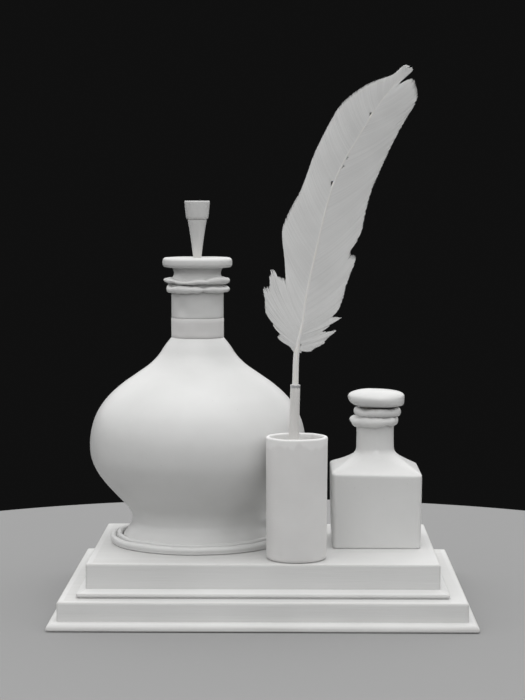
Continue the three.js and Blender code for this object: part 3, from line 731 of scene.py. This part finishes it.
def build_pot():
    half = POT_WALL / 2
    rim = arc(POT_TOP - half, POT_HEIGHT - half, half, 0, 180, 12)
    rows = [(0, 0.6), (11.5, 0.6), (12.3, 0), (13.4, 0), (14.3, 0.25), (POT_FOOT - 0.3, 0.9), (POT_FOOT, 2)]
    rows += [(POT_FOOT + 0.1, 20), (POT_FOOT + 0.25, 40), *rim]
    inner = POT_FOOT - POT_WALL
    rows += [(inner + 0.1, 20), (inner, POT_FLOOR + 1), (12.2, POT_FLOOR), (0, POT_FLOOR)]
    pot = piece("pot_wall", *spun(rows, 112, hand_thrown(41, 0.22, 0.12, 2.6)), BISQUE, POT_PLACE, sharp=50)
    finish_piece(pot, "pen_pot", "bisque", "pen_pot")

    radius = inner - 0.3
    tilt = math.tan(PEN_TILT)
    shift = (PEN_PLACE.translation.x - POT_PLACE.translation.x) / MM

    def level(size, up):
        return circle(size, up, 72)

    def bored(up, size):
        """A ring of the bore, which leans as the pen does."""
        return circle(size, up, 72, shift + tilt * (up - PEN_LOW))

    low = POT_FLOOR + 0.3
    rings = [[(0, 0, low)], level(radius - 0.5, low), level(radius, low + 0.5)]
    rings += [level(radius, PLUG_TOP - 0.7), level(radius - 0.2, PLUG_TOP - 0.2)]
    rings += [level(radius - 0.7, PLUG_TOP), bored(PLUG_TOP, PLUG_BORE + 0.5)]
    rings += [bored(PLUG_TOP - 0.5, PLUG_BORE), bored(PLUG_BORE_LOW + 1, PLUG_BORE)]
    rings += [[(shift + tilt * (PLUG_BORE_LOW - PEN_LOW), 0, PLUG_BORE_LOW)]]
    plug = piece("pen_holder", *skinned(rings), PALE_WOOD, POT_PLACE, sharp=35)
    finish_piece(plug, "pen_pot", "holder_wood", "pen_pot_insert")


# ---- Pen: nib, core, grip and collar ------------------------------------------------------------

NIB_LENGTH, NIB_RADIUS, NIB_SHEET = 24.0, 2.1, 0.32
VENT_UP, VENT_RADIUS, SLIT = 8.2, 0.55, 0.12
GRIP_LOW, GRIP_HIGH, SOCKET, SOCKET_TOP, WELL, WELL_LOW = 13, 71, 2.45, 26, 1.85, 54


def nib_spread(up):
    """How far round its gutter the nib reaches each way, in radians, at a distance from the point."""
    flat = 0.16 + 2.7 * (1 - math.exp(-((up / 6.2) ** 1.4)))
    return min(flat / NIB_RADIUS, math.radians(76))


def cut_away(made, *cutters):
    """Cuts closed meshes out of a piece and leaves it a plain mesh."""
    for cutter in cutters:
        tool = made.modifiers.new("cut", "BOOLEAN")
        tool.operation, tool.solver, tool.object = "DIFFERENCE", "EXACT", cutter
    depsgraph = bpy.context.evaluated_depsgraph_get()
    mesh = bpy.data.meshes.new_from_object(made.evaluated_get(depsgraph), depsgraph=depsgraph)
    made.modifiers.clear()
    made.data = mesh
    for cutter in cutters:
        bpy.data.objects.remove(cutter)


def build_nib():
    """A pressed steel nib, rolled to a gutter, with a slit from its point up to a round vent."""
    columns, rings = 16, []
    for row in range(41):
        up = NIB_LENGTH * (row / 40) ** 1.15
        angles = [nib_spread(up) * (2 * column / columns - 1) for column in range(columns + 1)]
        outer = [(NIB_RADIUS * math.sin(a), -NIB_RADIUS * math.cos(a), up) for a in angles]
        deep = NIB_RADIUS - NIB_SHEET
        rings.append(outer + [(deep * math.sin(a), -deep * math.cos(a), up) for a in reversed(angles)])
    points, faces = skinned(rings)
    last = len(points) - len(rings[0])
    for column in range(columns):
        a, b, c, d = column, column + 1, 2 * columns - column, 2 * columns + 1 - column
        faces += [(d, c, b, a), (last + a, last + b, last + c, last + d)]
    nib = piece("steel_nib", points, faces, NIB_METAL, PEN_PLACE, sharp=35)
    corners = ((-SLIT / 2, -3), (SLIT / 2, -3), (SLIT / 2, 0), (-SLIT / 2, 0))
    slit = [(x, y, up) for up in (-1, VENT_UP) for x, y in corners]
    sides = [(3, 2, 1, 0), (4, 5, 6, 7), (0, 1, 5, 4), (1, 2, 6, 5), (2, 3, 7, 6), (3, 0, 4, 7)]
    slitter = piece("slitter", slit, sides, NIB_METAL, PEN_PLACE)
    vent = Matrix.Translation((0, 0, VENT_UP * MM)) @ Matrix.Rotation(math.radians(90), 4, "X")
    punched = spun([(0, 0), (VENT_RADIUS, 0), (VENT_RADIUS, 3), (0, 3)], 24)
    punch = piece("punch", *punched, NIB_METAL, PEN_PLACE @ vent)
    cut_away(nib, slitter, punch)
    finish_piece(nib, "nib", "nib_steel", "pen_nib")

    pin = [(0, GRIP_LOW + 1), (0.9, GRIP_LOW + 1), (1.25, GRIP_LOW + 1.4), (1.4, GRIP_LOW + 2.2)]
    pin += [(1.4, SOCKET_TOP - 0.7), (1.1, SOCKET_TOP - 0.35), (0, SOCKET_TOP - 0.35)]
    core = piece("nib_core", *spun(pin, 32), NIB_METAL, PEN_PLACE, sharp=35)
    finish_piece(core, "quill_pen", "nib_steel", "pen_nib_core")


def build_grip():
    rest = PLUG_TOP - PEN_LOW  # where the flange rests on the pot's plug
    rows = [(0, SOCKET_TOP), (SOCKET, SOCKET_TOP), (SOCKET, GRIP_LOW + 0.3), (SOCKET + 0.15, GRIP_LOW)]
    rows += [(2.75, GRIP_LOW), (2.92, GRIP_LOW + 0.3), (2.95, rest - 0.6), (3.05, rest + 0.15)]
    rows += [(3.5, rest + 0.3)]
    rows += arc(3.72, rest + 0.9, 0.58, -80, 80, 10)
    swell = [(3.35, rest + 1.75), (3.0, rest + 2.8), (2.92, 25), (3.02, 28.5), (2.9, 34), (2.62, 46)]
    rows += flowing(swell, 4) + flowing([(2.6, 47), (2.5, 58), (2.46, GRIP_HIGH - 2)], 3)
    rows += [(2.42, GRIP_HIGH - 1.72), (2.15, GRIP_HIGH - 1.7), (2.15, GRIP_HIGH - 0.2), (2.05, GRIP_HIGH)]
    rows += [(WELL + 0.1, GRIP_HIGH), (WELL, GRIP_HIGH - 0.15), (WELL, WELL_LOW), (0, WELL_LOW)]
    grip = piece("horn_grip", *spun(rows, 64), HORN, PEN_PLACE, sharp=42)
    finish_piece(grip, "quill_pen", "grip", "pen_grip")

    low, high, out = GRIP_HIGH - 1.68, GRIP_HIGH - 0.1, 2.52
    band = [(2.2, low), (out - 0.06, low), (out, low + 0.06)]
    band += [(out, high - 0.15), (out - 0.12, high), (2.2, high)]
    collar = piece("silver_collar", *spun(band, 64, closed=True), COLLAR_METAL, PEN_PLACE, sharp=35)
    finish_piece(collar, "quill_pen", "collar_metal", "pen_collar")


# ---- Pen: the feather -------------------------------------------------------------------------

# The line of the shaft, as (across, along) from the nib's point.
RACHIS = [
    (0, 55), (0, 72), (0.3, 88.5), (2.5, 101), (4.3, 115.5), (8.6, 139.4), (14.6, 166.5),
    (20, 181.5), (27.4, 195.2), (38, 213), (47.4, 225.4), (51.3, 231.8),
]
VANE_LOW, VANE_HIGH, BOW, CUP = 88.4, 231.8, 9.0, 0.004
SHAFT_TOP = 230.4

# Where barbs end on the web's edge and the height on the shaft where they grow: (across, along, root).
LEFT_TUFT = [
    (-1.3, 87.6, 88.4), (-4.2, 91.2, 88.8), (-6.6, 92.6, 89.2), (-9.6, 94.6, 89.6),
    (-8.6, 97.3, 90), (-12.3, 101.0, 90.8), (-10.8, 103.2, 91.3), (-14.2, 104.4, 91.7),
    (-16.2, 107.6, 92.4), (-16.6, 113.4, 93.6), (-17.4, 119.6, 95), (-14.6, 120.4, 95.9),
    (-14.6, 125, 96.8), (-13.6, 129, 98), (-12.2, 128.4, 98.8), (-10.4, 125.6, 100),
    (-6.3, 124.4, 102),
]
LEFT_VANE = [
    (-6.3, 124.6, 102), (-7.2, 134.8, 110.5), (-8.5, 143.8, 120), (-8.6, 149.8, 127),
    (-6.6, 155.9, 134), (-3.7, 162, 141), (-0.6, 168, 147.5), (1.9, 174, 154), (5.7, 186, 167),
    (11.2, 198.3, 180), (17.6, 210.3, 192.5), (22.6, 215.7, 199.5), (30.6, 221.6, 207.5),
    (37.4, 224.6, 213.5), (44.2, 227.2, 219), (46.9, 229.6, 223.5), (48.8, 231.3, 227),
    (50.4, 231.9, 229.2), (52, 231.2, 230.4),
]
RIGHT_TUFT = [
    (2.4, 87.2, 88.4), (4.3, 88.7, 88.7), (7.2, 88, 89), (9.4, 89.6, 89.4), (13.4, 91.7, 90),
    (16.4, 95.4, 90.7), (20.2, 99.2, 91.6), (16.6, 98.2, 92.4), (13.1, 98.7, 93.2),
]
RIGHT_VANE = [
    (13.1, 98.9, 93.2), (16.6, 101.4, 94.2), (15.8, 103.6, 95), (17.4, 104.9, 95.5),
    (22.4, 105.4, 96), (17.9, 106.2, 96.5), (20.1, 108.4, 97.3), (22.7, 114.4, 100),
    (24, 120.5, 103.5), (25.9, 126.6, 108), (28.6, 136.2, 114.5), (25.7, 138.2, 117),
    (29.3, 144.8, 122.5), (31.6, 150.9, 128.5), (32.5, 156.9, 134.5), (35.3, 169, 146.5),
    (39.9, 181, 159.5), (45, 193, 172.5), (50.8, 204.6, 185.5), (55.7, 213.4, 196),
    (56.6, 218, 203), (55.4, 222.4, 208.5), (54.1, 225.2, 212), (51.2, 224.6, 214.6),
    (47.3, 222.4, 217.2), (48.6, 225, 221), (51.3, 227.2, 224.8), (53.7, 229.5, 228.4),
    (53.2, 230.6, 229.8),
]
# Small splits beside the shaft, by side: (root height, how far back the barbs stand, half length).
SLITS = {
    -1: [(171.5, 2.1, 1.5), (206.5, 1.6, 0.9)],
    1: [(90.8, 1.6, 0.9), (180.6, 1.9, 0.9), (185, 1.7, 0.8)],
}


def bow_at(along):
    """Where the feather's sheet lies along Y: it bows forward towards its tip."""
    share = max(0.0, (along - VANE_LOW) / (VANE_HIGH - VANE_LOW))
    return -BOW * share * share


def shaft_radius(along):
    knots = ((55, 1.45), (72, 1.55), (88, 1.45), (100, 1.25), (160, 0.85), (215, 0.5), (232, 0.28))
    return float(np.interp(along, [up for up, _ in knots], [radius for _, radius in knots]))


RACHIS_RUN = [spline(RACHIS, step / 400) for step in range(401)]
RACHIS_HEIGHTS = [point[1] for point in RACHIS_RUN]


def on_shaft(along):
    """The shaft's middle and its direction, in the pen's frame, at a height."""
    index = int(np.searchsorted(RACHIS_HEIGHTS, along).clip(1, len(RACHIS_RUN) - 1))
    a, b = RACHIS_RUN[index - 1], RACHIS_RUN[index]
    share = (along - a[1]) / (b[1] - a[1])
    spot = a + (b - a) * share
    ahead = (b - a) / np.linalg.norm(b - a)
    return Vector((spot[0], bow_at(spot[1]), spot[1])), Vector((ahead[0], 0, ahead[1]))


GROOVE_LOW, GROOVE_RUN = 96, 12  # where the rachis' groove starts and how soon it is full
GROOVE_DEEP, GROOVE_WIDE = 0.3, 24  # its depth as a share of the radius, and its spread in degrees


def build_shaft():
    """The quill: a round barrel below the web, and above it a rachis with a groove down its back."""
    rings, around, steps = [], 20, 120
    low, high = RACHIS[0][1], SHAFT_TOP
    for step in range(steps + 1):
        along = low + (high - low) * step / steps
        spot, ahead = on_shaft(along)
        across = Vector((ahead.z, 0, -ahead.x))
        grooved = min(1.0, max(0.0, (along - GROOVE_LOW) / GROOVE_RUN))
        ring = []
        for turn in range(around):
            angle = math.tau * turn / around
            groove = GROOVE_DEEP * grooved * math.exp(-(((math.degrees(angle) - 90) / GROOVE_WIDE) ** 2))
            radius = shaft_radius(along) * (1 - groove)
            wander = 0.05 * noise.noise(Vector((math.cos(angle), math.sin(angle), along / 9)))
            out = radius + wander * min(1.0, radius)
            ring.append(spot + across * out * math.cos(angle) + Vector((0, out * math.sin(angle), 0)))
        rings.append(ring)
    first, last = ([ring[0].lerp(ring[around // 2], 0.5)] for ring in (rings[0], rings[-1]))
    shaft = piece("quill_rachis", *skinned([first, *rings, last]), QUILL, PEN_PLACE, sharp=60)
    finish_piece(shaft, "quill_pen", "quill", "quill_shaft")


# What each root point carries: where its barb starts, how it reaches, bows and is set back, and
# which ways its width and its face point.
BARB_VECTORS = ("root", "reach", "bend", "slip", "side", "face")
BARB_BASE = 0.4  # the share of a barb over which it opens from its girth at the root
SET_BACK_POWER, RUFFLE_POWER = 12.0, 2.0  # how soon a set-back fades and how late a ruffle comes
TIP_POWER, TIP_THINNING = 14.0, 0.7  # how late a barb thins to its tip, and by how much


def barb_tree():
    """Grows one blade at each root point. A blade's own shape is a long diamond from 0 to 1 along Z,
    which is laid along the point's reach, bowed, set back at its root where the web is split, thinned
    to a tip and ruffled."""
    tree = bpy.data.node_groups.new("feather_barbs", "GeometryNodeTree")
    sockets = (
        ("Roots", "NodeSocketGeometry", None),
        ("Half Width", "NodeSocketFloat", 0.36 * MM),
        ("Half Thickness", "NodeSocketFloat", 0.1 * MM),
        ("Steps", "NodeSocketInt", 8),
        ("Ruffle", "NodeSocketFloat", 0.25 * MM),
        ("Seed", "NodeSocketInt", 5),
        ("Finish", "NodeSocketMaterial", None),
    )
    for name, kind, value in sockets:
        socket = tree.interface.new_socket(name, in_out="INPUT", socket_type=kind)
        if value is not None:
            socket.default_value = value
    tree.interface.new_socket("Barbs", in_out="OUTPUT", socket_type="NodeSocketGeometry")
    sizes = add_node(tree, "NodeGroupInput").outputs

    values = {name: sizes[name] for name in ("Half Width", "Half Thickness", "Ruffle")}
    for kind, names in (("FLOAT_VECTOR", (*BARB_VECTORS, "unit")), ("FLOAT", ("girth", "flutter"))):
        for name in names:
            read = add_node(tree, "GeometryNodeInputNamedAttribute", {"data_type": kind}, {"Name": name})
            values[name] = read.outputs["Attribute"]

    between = {2: -1.0, 3: 1.0, "Seed": sizes["Seed"]}
    chance = add_node(tree, "FunctionNodeRandomValue", {"data_type": "FLOAT"}, between).outputs[1]
    store = "GeometryNodeStoreNamedAttribute"
    kept = {"Geometry": sizes["Roots"], "Name": "flutter", "Value": chance}
    marked = add_node(tree, store, {"data_type": "FLOAT", "domain": "POINT"}, kept)
    diamond = {"Vertices": 4, "Radius Top": 1.0, "Radius Bottom": 1.0, "Depth": 1.0}
    diamond["Side Segments"] = sizes["Steps"]
    blade = add_node(tree, "GeometryNodeMeshCone", inputs=diamond)
    spot = add_node(tree, "GeometryNodeInputPosition").outputs["Position"]
    kept = {"Geometry": blade.outputs["Mesh"], "Name": "unit", "Value": spot}
    own = add_node(tree, store, {"data_type": "FLOAT_VECTOR", "domain": "POINT"}, kept)
    planted = {"Points": marked.outputs["Geometry"], "Instance": own.outputs["Geometry"]}
    grown = add_node(tree, "GeometryNodeInstanceOnPoints", inputs=planted)
    real = add_node(tree, "GeometryNodeRealizeInstances", inputs={"Geometry": grown.outputs["Instances"]})

    unit = add_node(tree, "ShaderNodeSeparateXYZ", inputs={0: values["unit"]}).outputs
    values.update({"across": unit["X"], "through": unit["Y"], "up": unit["Z"]})
    opening = {"Value": unit["Z"], "From Max": BARB_BASE, "To Min": values["girth"], "To Max": 1.0}
    values["opening"] = add_node(tree, REMAP, inputs=opening).outputs["Result"]
    # Each row is a name, an operation and its inputs, which are numbers or names from above.
    for name, operation, *inputs in (
        ("rest", "SUBTRACT", 1.0, "up"),
        ("rise", "MULTIPLY", "up", 4.0),
        ("arch", "MULTIPLY", "rise", "rest"),
        ("set back", "POWER", "rest", SET_BACK_POWER),
        ("near tip", "POWER", "up", TIP_POWER),
        ("thin", "MULTIPLY_ADD", "near tip", -TIP_THINNING, 1.0),
        ("full", "MULTIPLY", "thin", "opening"),
        ("sized across", "MULTIPLY", "across", "Half Width"),
        ("wide", "MULTIPLY", "sized across", "full"),
        ("sized through", "MULTIPLY", "through", "Half Thickness"),
        ("thick", "MULTIPLY", "sized through", "full"),
        ("loose", "MULTIPLY", "flutter", "Ruffle"),
        ("late", "POWER", "up", RUFFLE_POWER),
        ("waved", "MULTIPLY", "loose", "late"),
        ("raised", "ADD", "thick", "waved"),
    ):
        sockets = {index: values.get(value, value) for index, value in enumerate(inputs)}
        values[name] = add_node(tree, MATHS, {"operation": operation}, sockets).outputs["Value"]
    laid = values["root"]
    for way, amount in zip(BARB_VECTORS[1:], ("up", "arch", "set back", "wide", "raised")):
        sockets = {0: values[way], 1: values[amount], 2: laid}
        added = add_node(tree, "ShaderNodeVectorMath", {"operation": "MULTIPLY_ADD"}, sockets)
        laid = added.outputs["Vector"]
    moved = {"Geometry": real.outputs["Geometry"], "Position": laid}
    shaped = add_node(tree, "GeometryNodeSetPosition", inputs=moved)
    painted = {"Geometry": shaped.outputs["Geometry"], "Material": sizes["Finish"]}
    finished = add_node(tree, "GeometryNodeSetMaterial", inputs=painted)
    add_node(tree, "NodeGroupOutput", inputs={"Barbs": finished.outputs["Geometry"]})
    return tree


BARB_SPACING = 0.5  # between barbs along the web's edge
LOUVRE = math.radians(13)  # how far each barb turns to lie over the next
ROOT_ASIDE, ROOT_AHEAD = 0.35, 0.78  # where barbs grow on the shaft, as shares of its radius
BARB_BEND = 0.06  # how far a barb bows, as a share of its length


def barb_roots(side, edge, seed, fringe):
    """The barbs of one web, spaced evenly along its edge, as one dictionary of numbers each."""
    chance = random.Random(seed)
    run = flowing(edge, 12)
    lengths = np.cumsum([0] + [math.dist(a[:2], b[:2]) for a, b in zip(run, run[1:])])
    count = int(lengths[-1] / BARB_SPACING)
    barbs = []
    for number in range(count + 1):
        place = lengths[-1] * number / count
        tip_x, tip_z, root_z = (float(np.interp(place, lengths, column)) for column in zip(*run))
        grain = (root_z - run[0][2]) / (run[-1][2] - run[0][2])
        slip = sum(back * math.exp(-(((root_z - at) / half) ** 2)) for at, back, half in SLITS[side])
        centre, ahead = on_shaft(root_z)
        across = Vector((ahead.z, 0, -ahead.x))
        radius = shaft_radius(root_z)
        root = centre + across * side * radius * ROOT_ASIDE + Vector((0, -ROOT_AHEAD * radius, 0))
        tip_spot, tip_ahead = on_shaft(min(tip_z, VANE_HIGH))
        off = abs((tip_x - tip_spot.x) * tip_ahead.z)
        tip = Vector((tip_x, bow_at(min(tip_z, VANE_HIGH)) + CUP * off * off - 0.2, tip_z))
        reach = (tip - root) * (1 - fringe * chance.random() ** 2)
        length = reach.length
        face = reach.cross(ahead).normalized()
        if face.y > 0:
            face.negate()
        lateral = face.cross(reach).normalized()
        if lateral.dot(ahead) < 0:
            lateral.negate()
        bend = lateral * -BARB_BEND * length * (0.6 + 0.4 * grain) + Vector((0, -CUP * off * off / 4, 0))
        blade = lateral * math.cos(LOUVRE) + face * math.sin(LOUVRE)
        # Barbs that grow closer together than their tips end are narrower at the root.
        packed = min(1.0, max(0.3, 0.75 * abs(run[-1][2] - run[0][2]) / lengths[-1] * 1.3))
        barb = dict(zip(BARB_VECTORS, (root, reach, bend, reach.normalized() * slip, blade, face)))
        barbs.append({**barb, "girth": packed, "strand": chance.random()})
    return barbs


def build_web(name, node, side, edge, seed, tree, fringe=0.02, ruffle=0.12):
    """One web of barbs, as one mesh. A fringe is how much shorter than its outline a barb may be."""
    barbs = barb_roots(side, edge, seed, fringe)
    turned = PEN_PLACE.to_3x3()
    mesh = bpy.data.meshes.new(name + "_roots")
    mesh.from_pydata([PEN_PLACE @ (barb["root"] * MM) for barb in barbs], [], [])
    for key in BARB_VECTORS:
        size = 1 if key in ("side", "face") else MM
        values = [(PEN_PLACE if key == "root" else turned) @ (barb[key] * size) for barb in barbs]
        layer = mesh.attributes.new(key, "FLOAT_VECTOR", "POINT")
        layer.data.foreach_set("vector", np.array(values, dtype=np.float32).ravel())
    for key in ("girth", "strand"):
        mesh.attributes.new(key, "FLOAT", "POINT").data.foreach_set("value", [barb[key] for barb in barbs])
    roots = bpy.data.objects.new(name + "_roots", mesh)
    scene.collection.objects.link(roots)
    grow = roots.modifiers.new("barbs", "NODES")
    grow.node_group = tree
    sizes = {"Ruffle": ruffle * MM, "Seed": seed, "Finish": FEATHER}
    for socket in tree.interface.items_tree:
        if socket.in_out == "INPUT" and socket.name in sizes:
            grow[socket.identifier] = sizes[socket.name]
    depsgraph = bpy.context.evaluated_depsgraph_get()
    grown = bpy.data.meshes.new_from_object(
        roots.evaluated_get(depsgraph), preserve_all_data_layers=True, depsgraph=depsgraph
    )
    roots.modifiers.clear()
    bpy.data.objects.remove(roots)
    grown.polygons.foreach_set("use_smooth", [True] * len(grown.polygons))
    grown.set_sharp_from_angle(angle=math.radians(70))
    web = bpy.data.objects.new(name, grown)
    scene.collection.objects.link(web)
    finish_piece(web, "quill_pen", "feather", node)


def build_feather():
    build_shaft()
    tree = barb_tree()
    build_web("left_tuft_barbs", "down_left", -1, LEFT_TUFT, 3, tree, fringe=0.035, ruffle=0.4)
    build_web("left_web_barbs", "vane_left", -1, LEFT_VANE, 5, tree)
    build_web("right_tuft_barbs", "down_right", 1, RIGHT_TUFT, 7, tree, fringe=0.07, ruffle=0.4)
    build_web("right_web_barbs", "vane_right", 1, RIGHT_VANE, 9, tree, fringe=0.03)


# ---- Square ink bottle ------------------------------------------------------------------------

BOTTLE_HALF, BOTTLE_CORNER, BOTTLE_WALL = 23.65, 2.3, 3.0
BOTTLE_SHOULDER, BOTTLE_NECK_LOW = 36.9, 48.2
BOTTLE_NECK, BOTTLE_BORE, BOTTLE_LIP, LIP_LOW, LIP_HIGH = 10.0, 7.0, 12.6, 67.9, 71.9
RIM_MARKS = [(180, 40, -1.1, 0.3, 0), (0, 45, 0.9, -0.3, 0.1), (238, 12, -0.4, -0.6, -0.15)]
RIM_MARKS += [(204, 9, 0.3, 0.2, 0.1), (350, 9, 0.5, 0.3, 0.2), (318, 10, -0.4, -0.3, -0.1)]
RIM_MARKS += [(90, 40, -0.2, 0.15, 0)]
COLLAR_MARKS = [(186, 15, 0.9, 0.95, -0.1), (203, 6, 0.5, -0.5, 0.1), (216, 13, -0.5, -0.3, -0.1)]
COLLAR_MARKS += [(0, 30, -0.7, 0.5, 0.1), (338, 8, -0.3, -0.6, -0.2), (252, 26, 0.1, 0, 0.15)]
COLLAR_MARKS += [(300, 8, -0.3, 0.25, -0.25), (60, 30, 0.2, -0.1, 0)]
KNOB_RADIUS, KNOB_HALF = 15.1, 4.85


def bottle_ring(half, corner, height, left=0.0, right=0.0):
    """One level of the bottle. Left and right lift its sides, where the mould's shoulder stands fuller."""

    def lift(x):
        return left * max(0.0, -x / BOTTLE_HALF) ** 4 + right * max(0.0, x / BOTTLE_HALF) ** 4

    return [(x, y, z + lift(x)) for x, y, z in rounded_square(half, half, height, corner, steps=8)]


def build_bottle():
    half, corner = BOTTLE_HALF, BOTTLE_CORNER
    foot = 0.6  # how much narrower the bottle is at its foot
    up = BOTTLE_SHOULDER
    rows = [(half - foot - 3.4, 2.4, 0.9), (half - foot - 2.8, 2.6, 0.25), (half - foot - 1.0, corner, 0)]
    rows += [(half - foot - 0.25, corner, 0.1), (half - foot, corner, 0.5), (half - foot, corner, 1.2)]
    rows += [(half - 0.2, corner, 18), (half, corner, up - 1, 2.2, 1.4), (half, corner, up, 2.4, 1.5)]
    rings = [bottle_ring(*row) for row in rows]
    # How far in from the side, rounder at the corner, up, and lifted at the left and the right.
    shoulder = [(0.12, 0.05, 0.35, 2.5, 1.5), (0.42, 0.2, 0.8, 2.6, 1.5), (0.85, 0.5, 1.35, 2.6, 1.4)]
    shoulder += [(2.2, 1.4, 2.8, 2.3, 0.9), (2.7, 1.7, 3.3, 2.1, 0.7), (5.0, 3.2, 5.1, 1.6, 0.2)]
    shoulder += [(7.6, 5.2, 6.9, 1.3, 0), (10.2, 7.4, 8.8, 1, 0)]
    for inset, more, rise, *lifts in shoulder:
        rings.append(bottle_ring(half - inset, corner + more, up + rise, *lifts))
    round_rows = [(BOTTLE_NECK + 1.5, 47.4), (BOTTLE_NECK + 0.35, 49), (BOTTLE_NECK, 50.6)]
    round_rows += [(BOTTLE_NECK - 0.1, 58), (BOTTLE_NECK, 66), (BOTTLE_NECK + 0.5, LIP_LOW - 0.3)]
    rings += [bottle_ring(radius, radius, height) for radius, height in round_rows]

    uneven = thumbed(RIM_MARKS, 51, 0.12, 0.25)
    size = (LIP_HIGH - LIP_LOW) / 2
    for x, z in arc(0, 0, 1, -80, 90, 12):
        ring = []
        for spot_x, spot_y, _ in bottle_ring(1, 1, 0):
            angle = math.atan2(spot_y, spot_x)
            reach, lift, thick = uneven(angle)
            out = BOTTLE_LIP + reach - size * (1 - x) * 0.9
            height = LIP_LOW + size + lift + size * (1 + thick) * z
            ring.append((out * math.cos(angle), out * math.sin(angle), height))
        rings.append(ring)
    inner = [(BOTTLE_BORE + 1, LIP_HIGH - 0.1), (BOTTLE_BORE + 0.2, LIP_HIGH - 0.6)]
    inner += [(BOTTLE_BORE, LIP_HIGH - 1.6)]
    inner += [(BOTTLE_BORE, BOTTLE_NECK_LOW), (BOTTLE_BORE + 1.2, BOTTLE_NECK_LOW - 2.4)]
    rings += [bottle_ring(radius, radius, height) for radius, height in inner]
    deep = half - BOTTLE_WALL
    rings += [bottle_ring(deep - 4, corner + 3, up + 1.8), bottle_ring(deep - 0.6, corner, up - 0.8)]
    rings += [bottle_ring(deep - 0.3, corner - 1, up - 3), bottle_ring(deep - 0.8, corner - 1, 5)]
    rings += [bottle_ring(deep - 2.4, corner - 1, 3.2)]
    points, faces = skinned([[(0, 0, 0.9)], *rings, [(0, 0, 3.2)]])
    body = piece("bottle_glass", points, faces, PORCELAIN, BOTTLE_PLACE, sharp=55)
    finish_piece(body, "ink_bottle", "flask_glaze", "bottle_body")

    on_bottle = ("ink_bottle", BOTTLE_PLACE, BOTTLE_NECK)
    uneven = thumbed(COLLAR_MARKS, 61, 0.18, 0.3)
    laid_ring("bottle_trail", "bottle_neck_ring", *on_bottle, 12.9, 64.9, 2.5, uneven)

    def pebble(angle, out, up):
        """A lens that is blunter and thinner on one side, with a level underside."""
        blunt = (2 if up > 0 else 2.5) + 2.2 * max(0.0, math.cos(angle)) ** 2
        bump = 1 + 0.03 * rough(71, angle, up, 1.3)
        radius = KNOB_RADIUS * max(out, 0.0) ** (2 / blunt) * bump
        thick = KNOB_HALF - 0.75 * max(0.0, -math.cos(angle)) * max(0.0, out) ** 2
        lift = math.copysign(thick * abs(up) ** (2 / blunt), up) * bump
        level = math.tan(KNOB_TILT) * radius * math.cos(angle) * min(1.0, max(0.0, -1.5 * up))
        return radius, lift + level

    rows = [(math.cos(math.radians(a)), math.sin(math.radians(a))) for a in range(-84, 85, 7)]
    rows = [(0, -1), *rows, (0, 1)]
    points, faces = spun(rows, 96, pebble)
    points = [(x, y, z * KNOB_HALF if x == y == 0 else z) for x, y, z in points]
    knob = piece("stopper_knob", points, faces, STOPPER_PORCELAIN, KNOB_PLACE, sharp=60)
    finish_piece(knob, "ink_stopper", "stopper_glaze", "bottle_stopper_knob")
    plug = [(0, -17), (4.4, -17), (4.8, -16.7), (5.6, -11), (6.4, -5.6), (6.2, -5.2), (0, -5.2)]
    cork_plug = piece("bottle_cork", *spun(plug, 64, hand_thrown(81, 0.08, 0, 3)), CORK, KNOB_PLACE)
    finish_piece(cork_plug, "ink_stopper", "cork", "bottle_stopper_cork")


build_studio()
build_stand()
build_flask()
build_pot()
build_nib()
build_grip()
build_feather()
build_bottle()
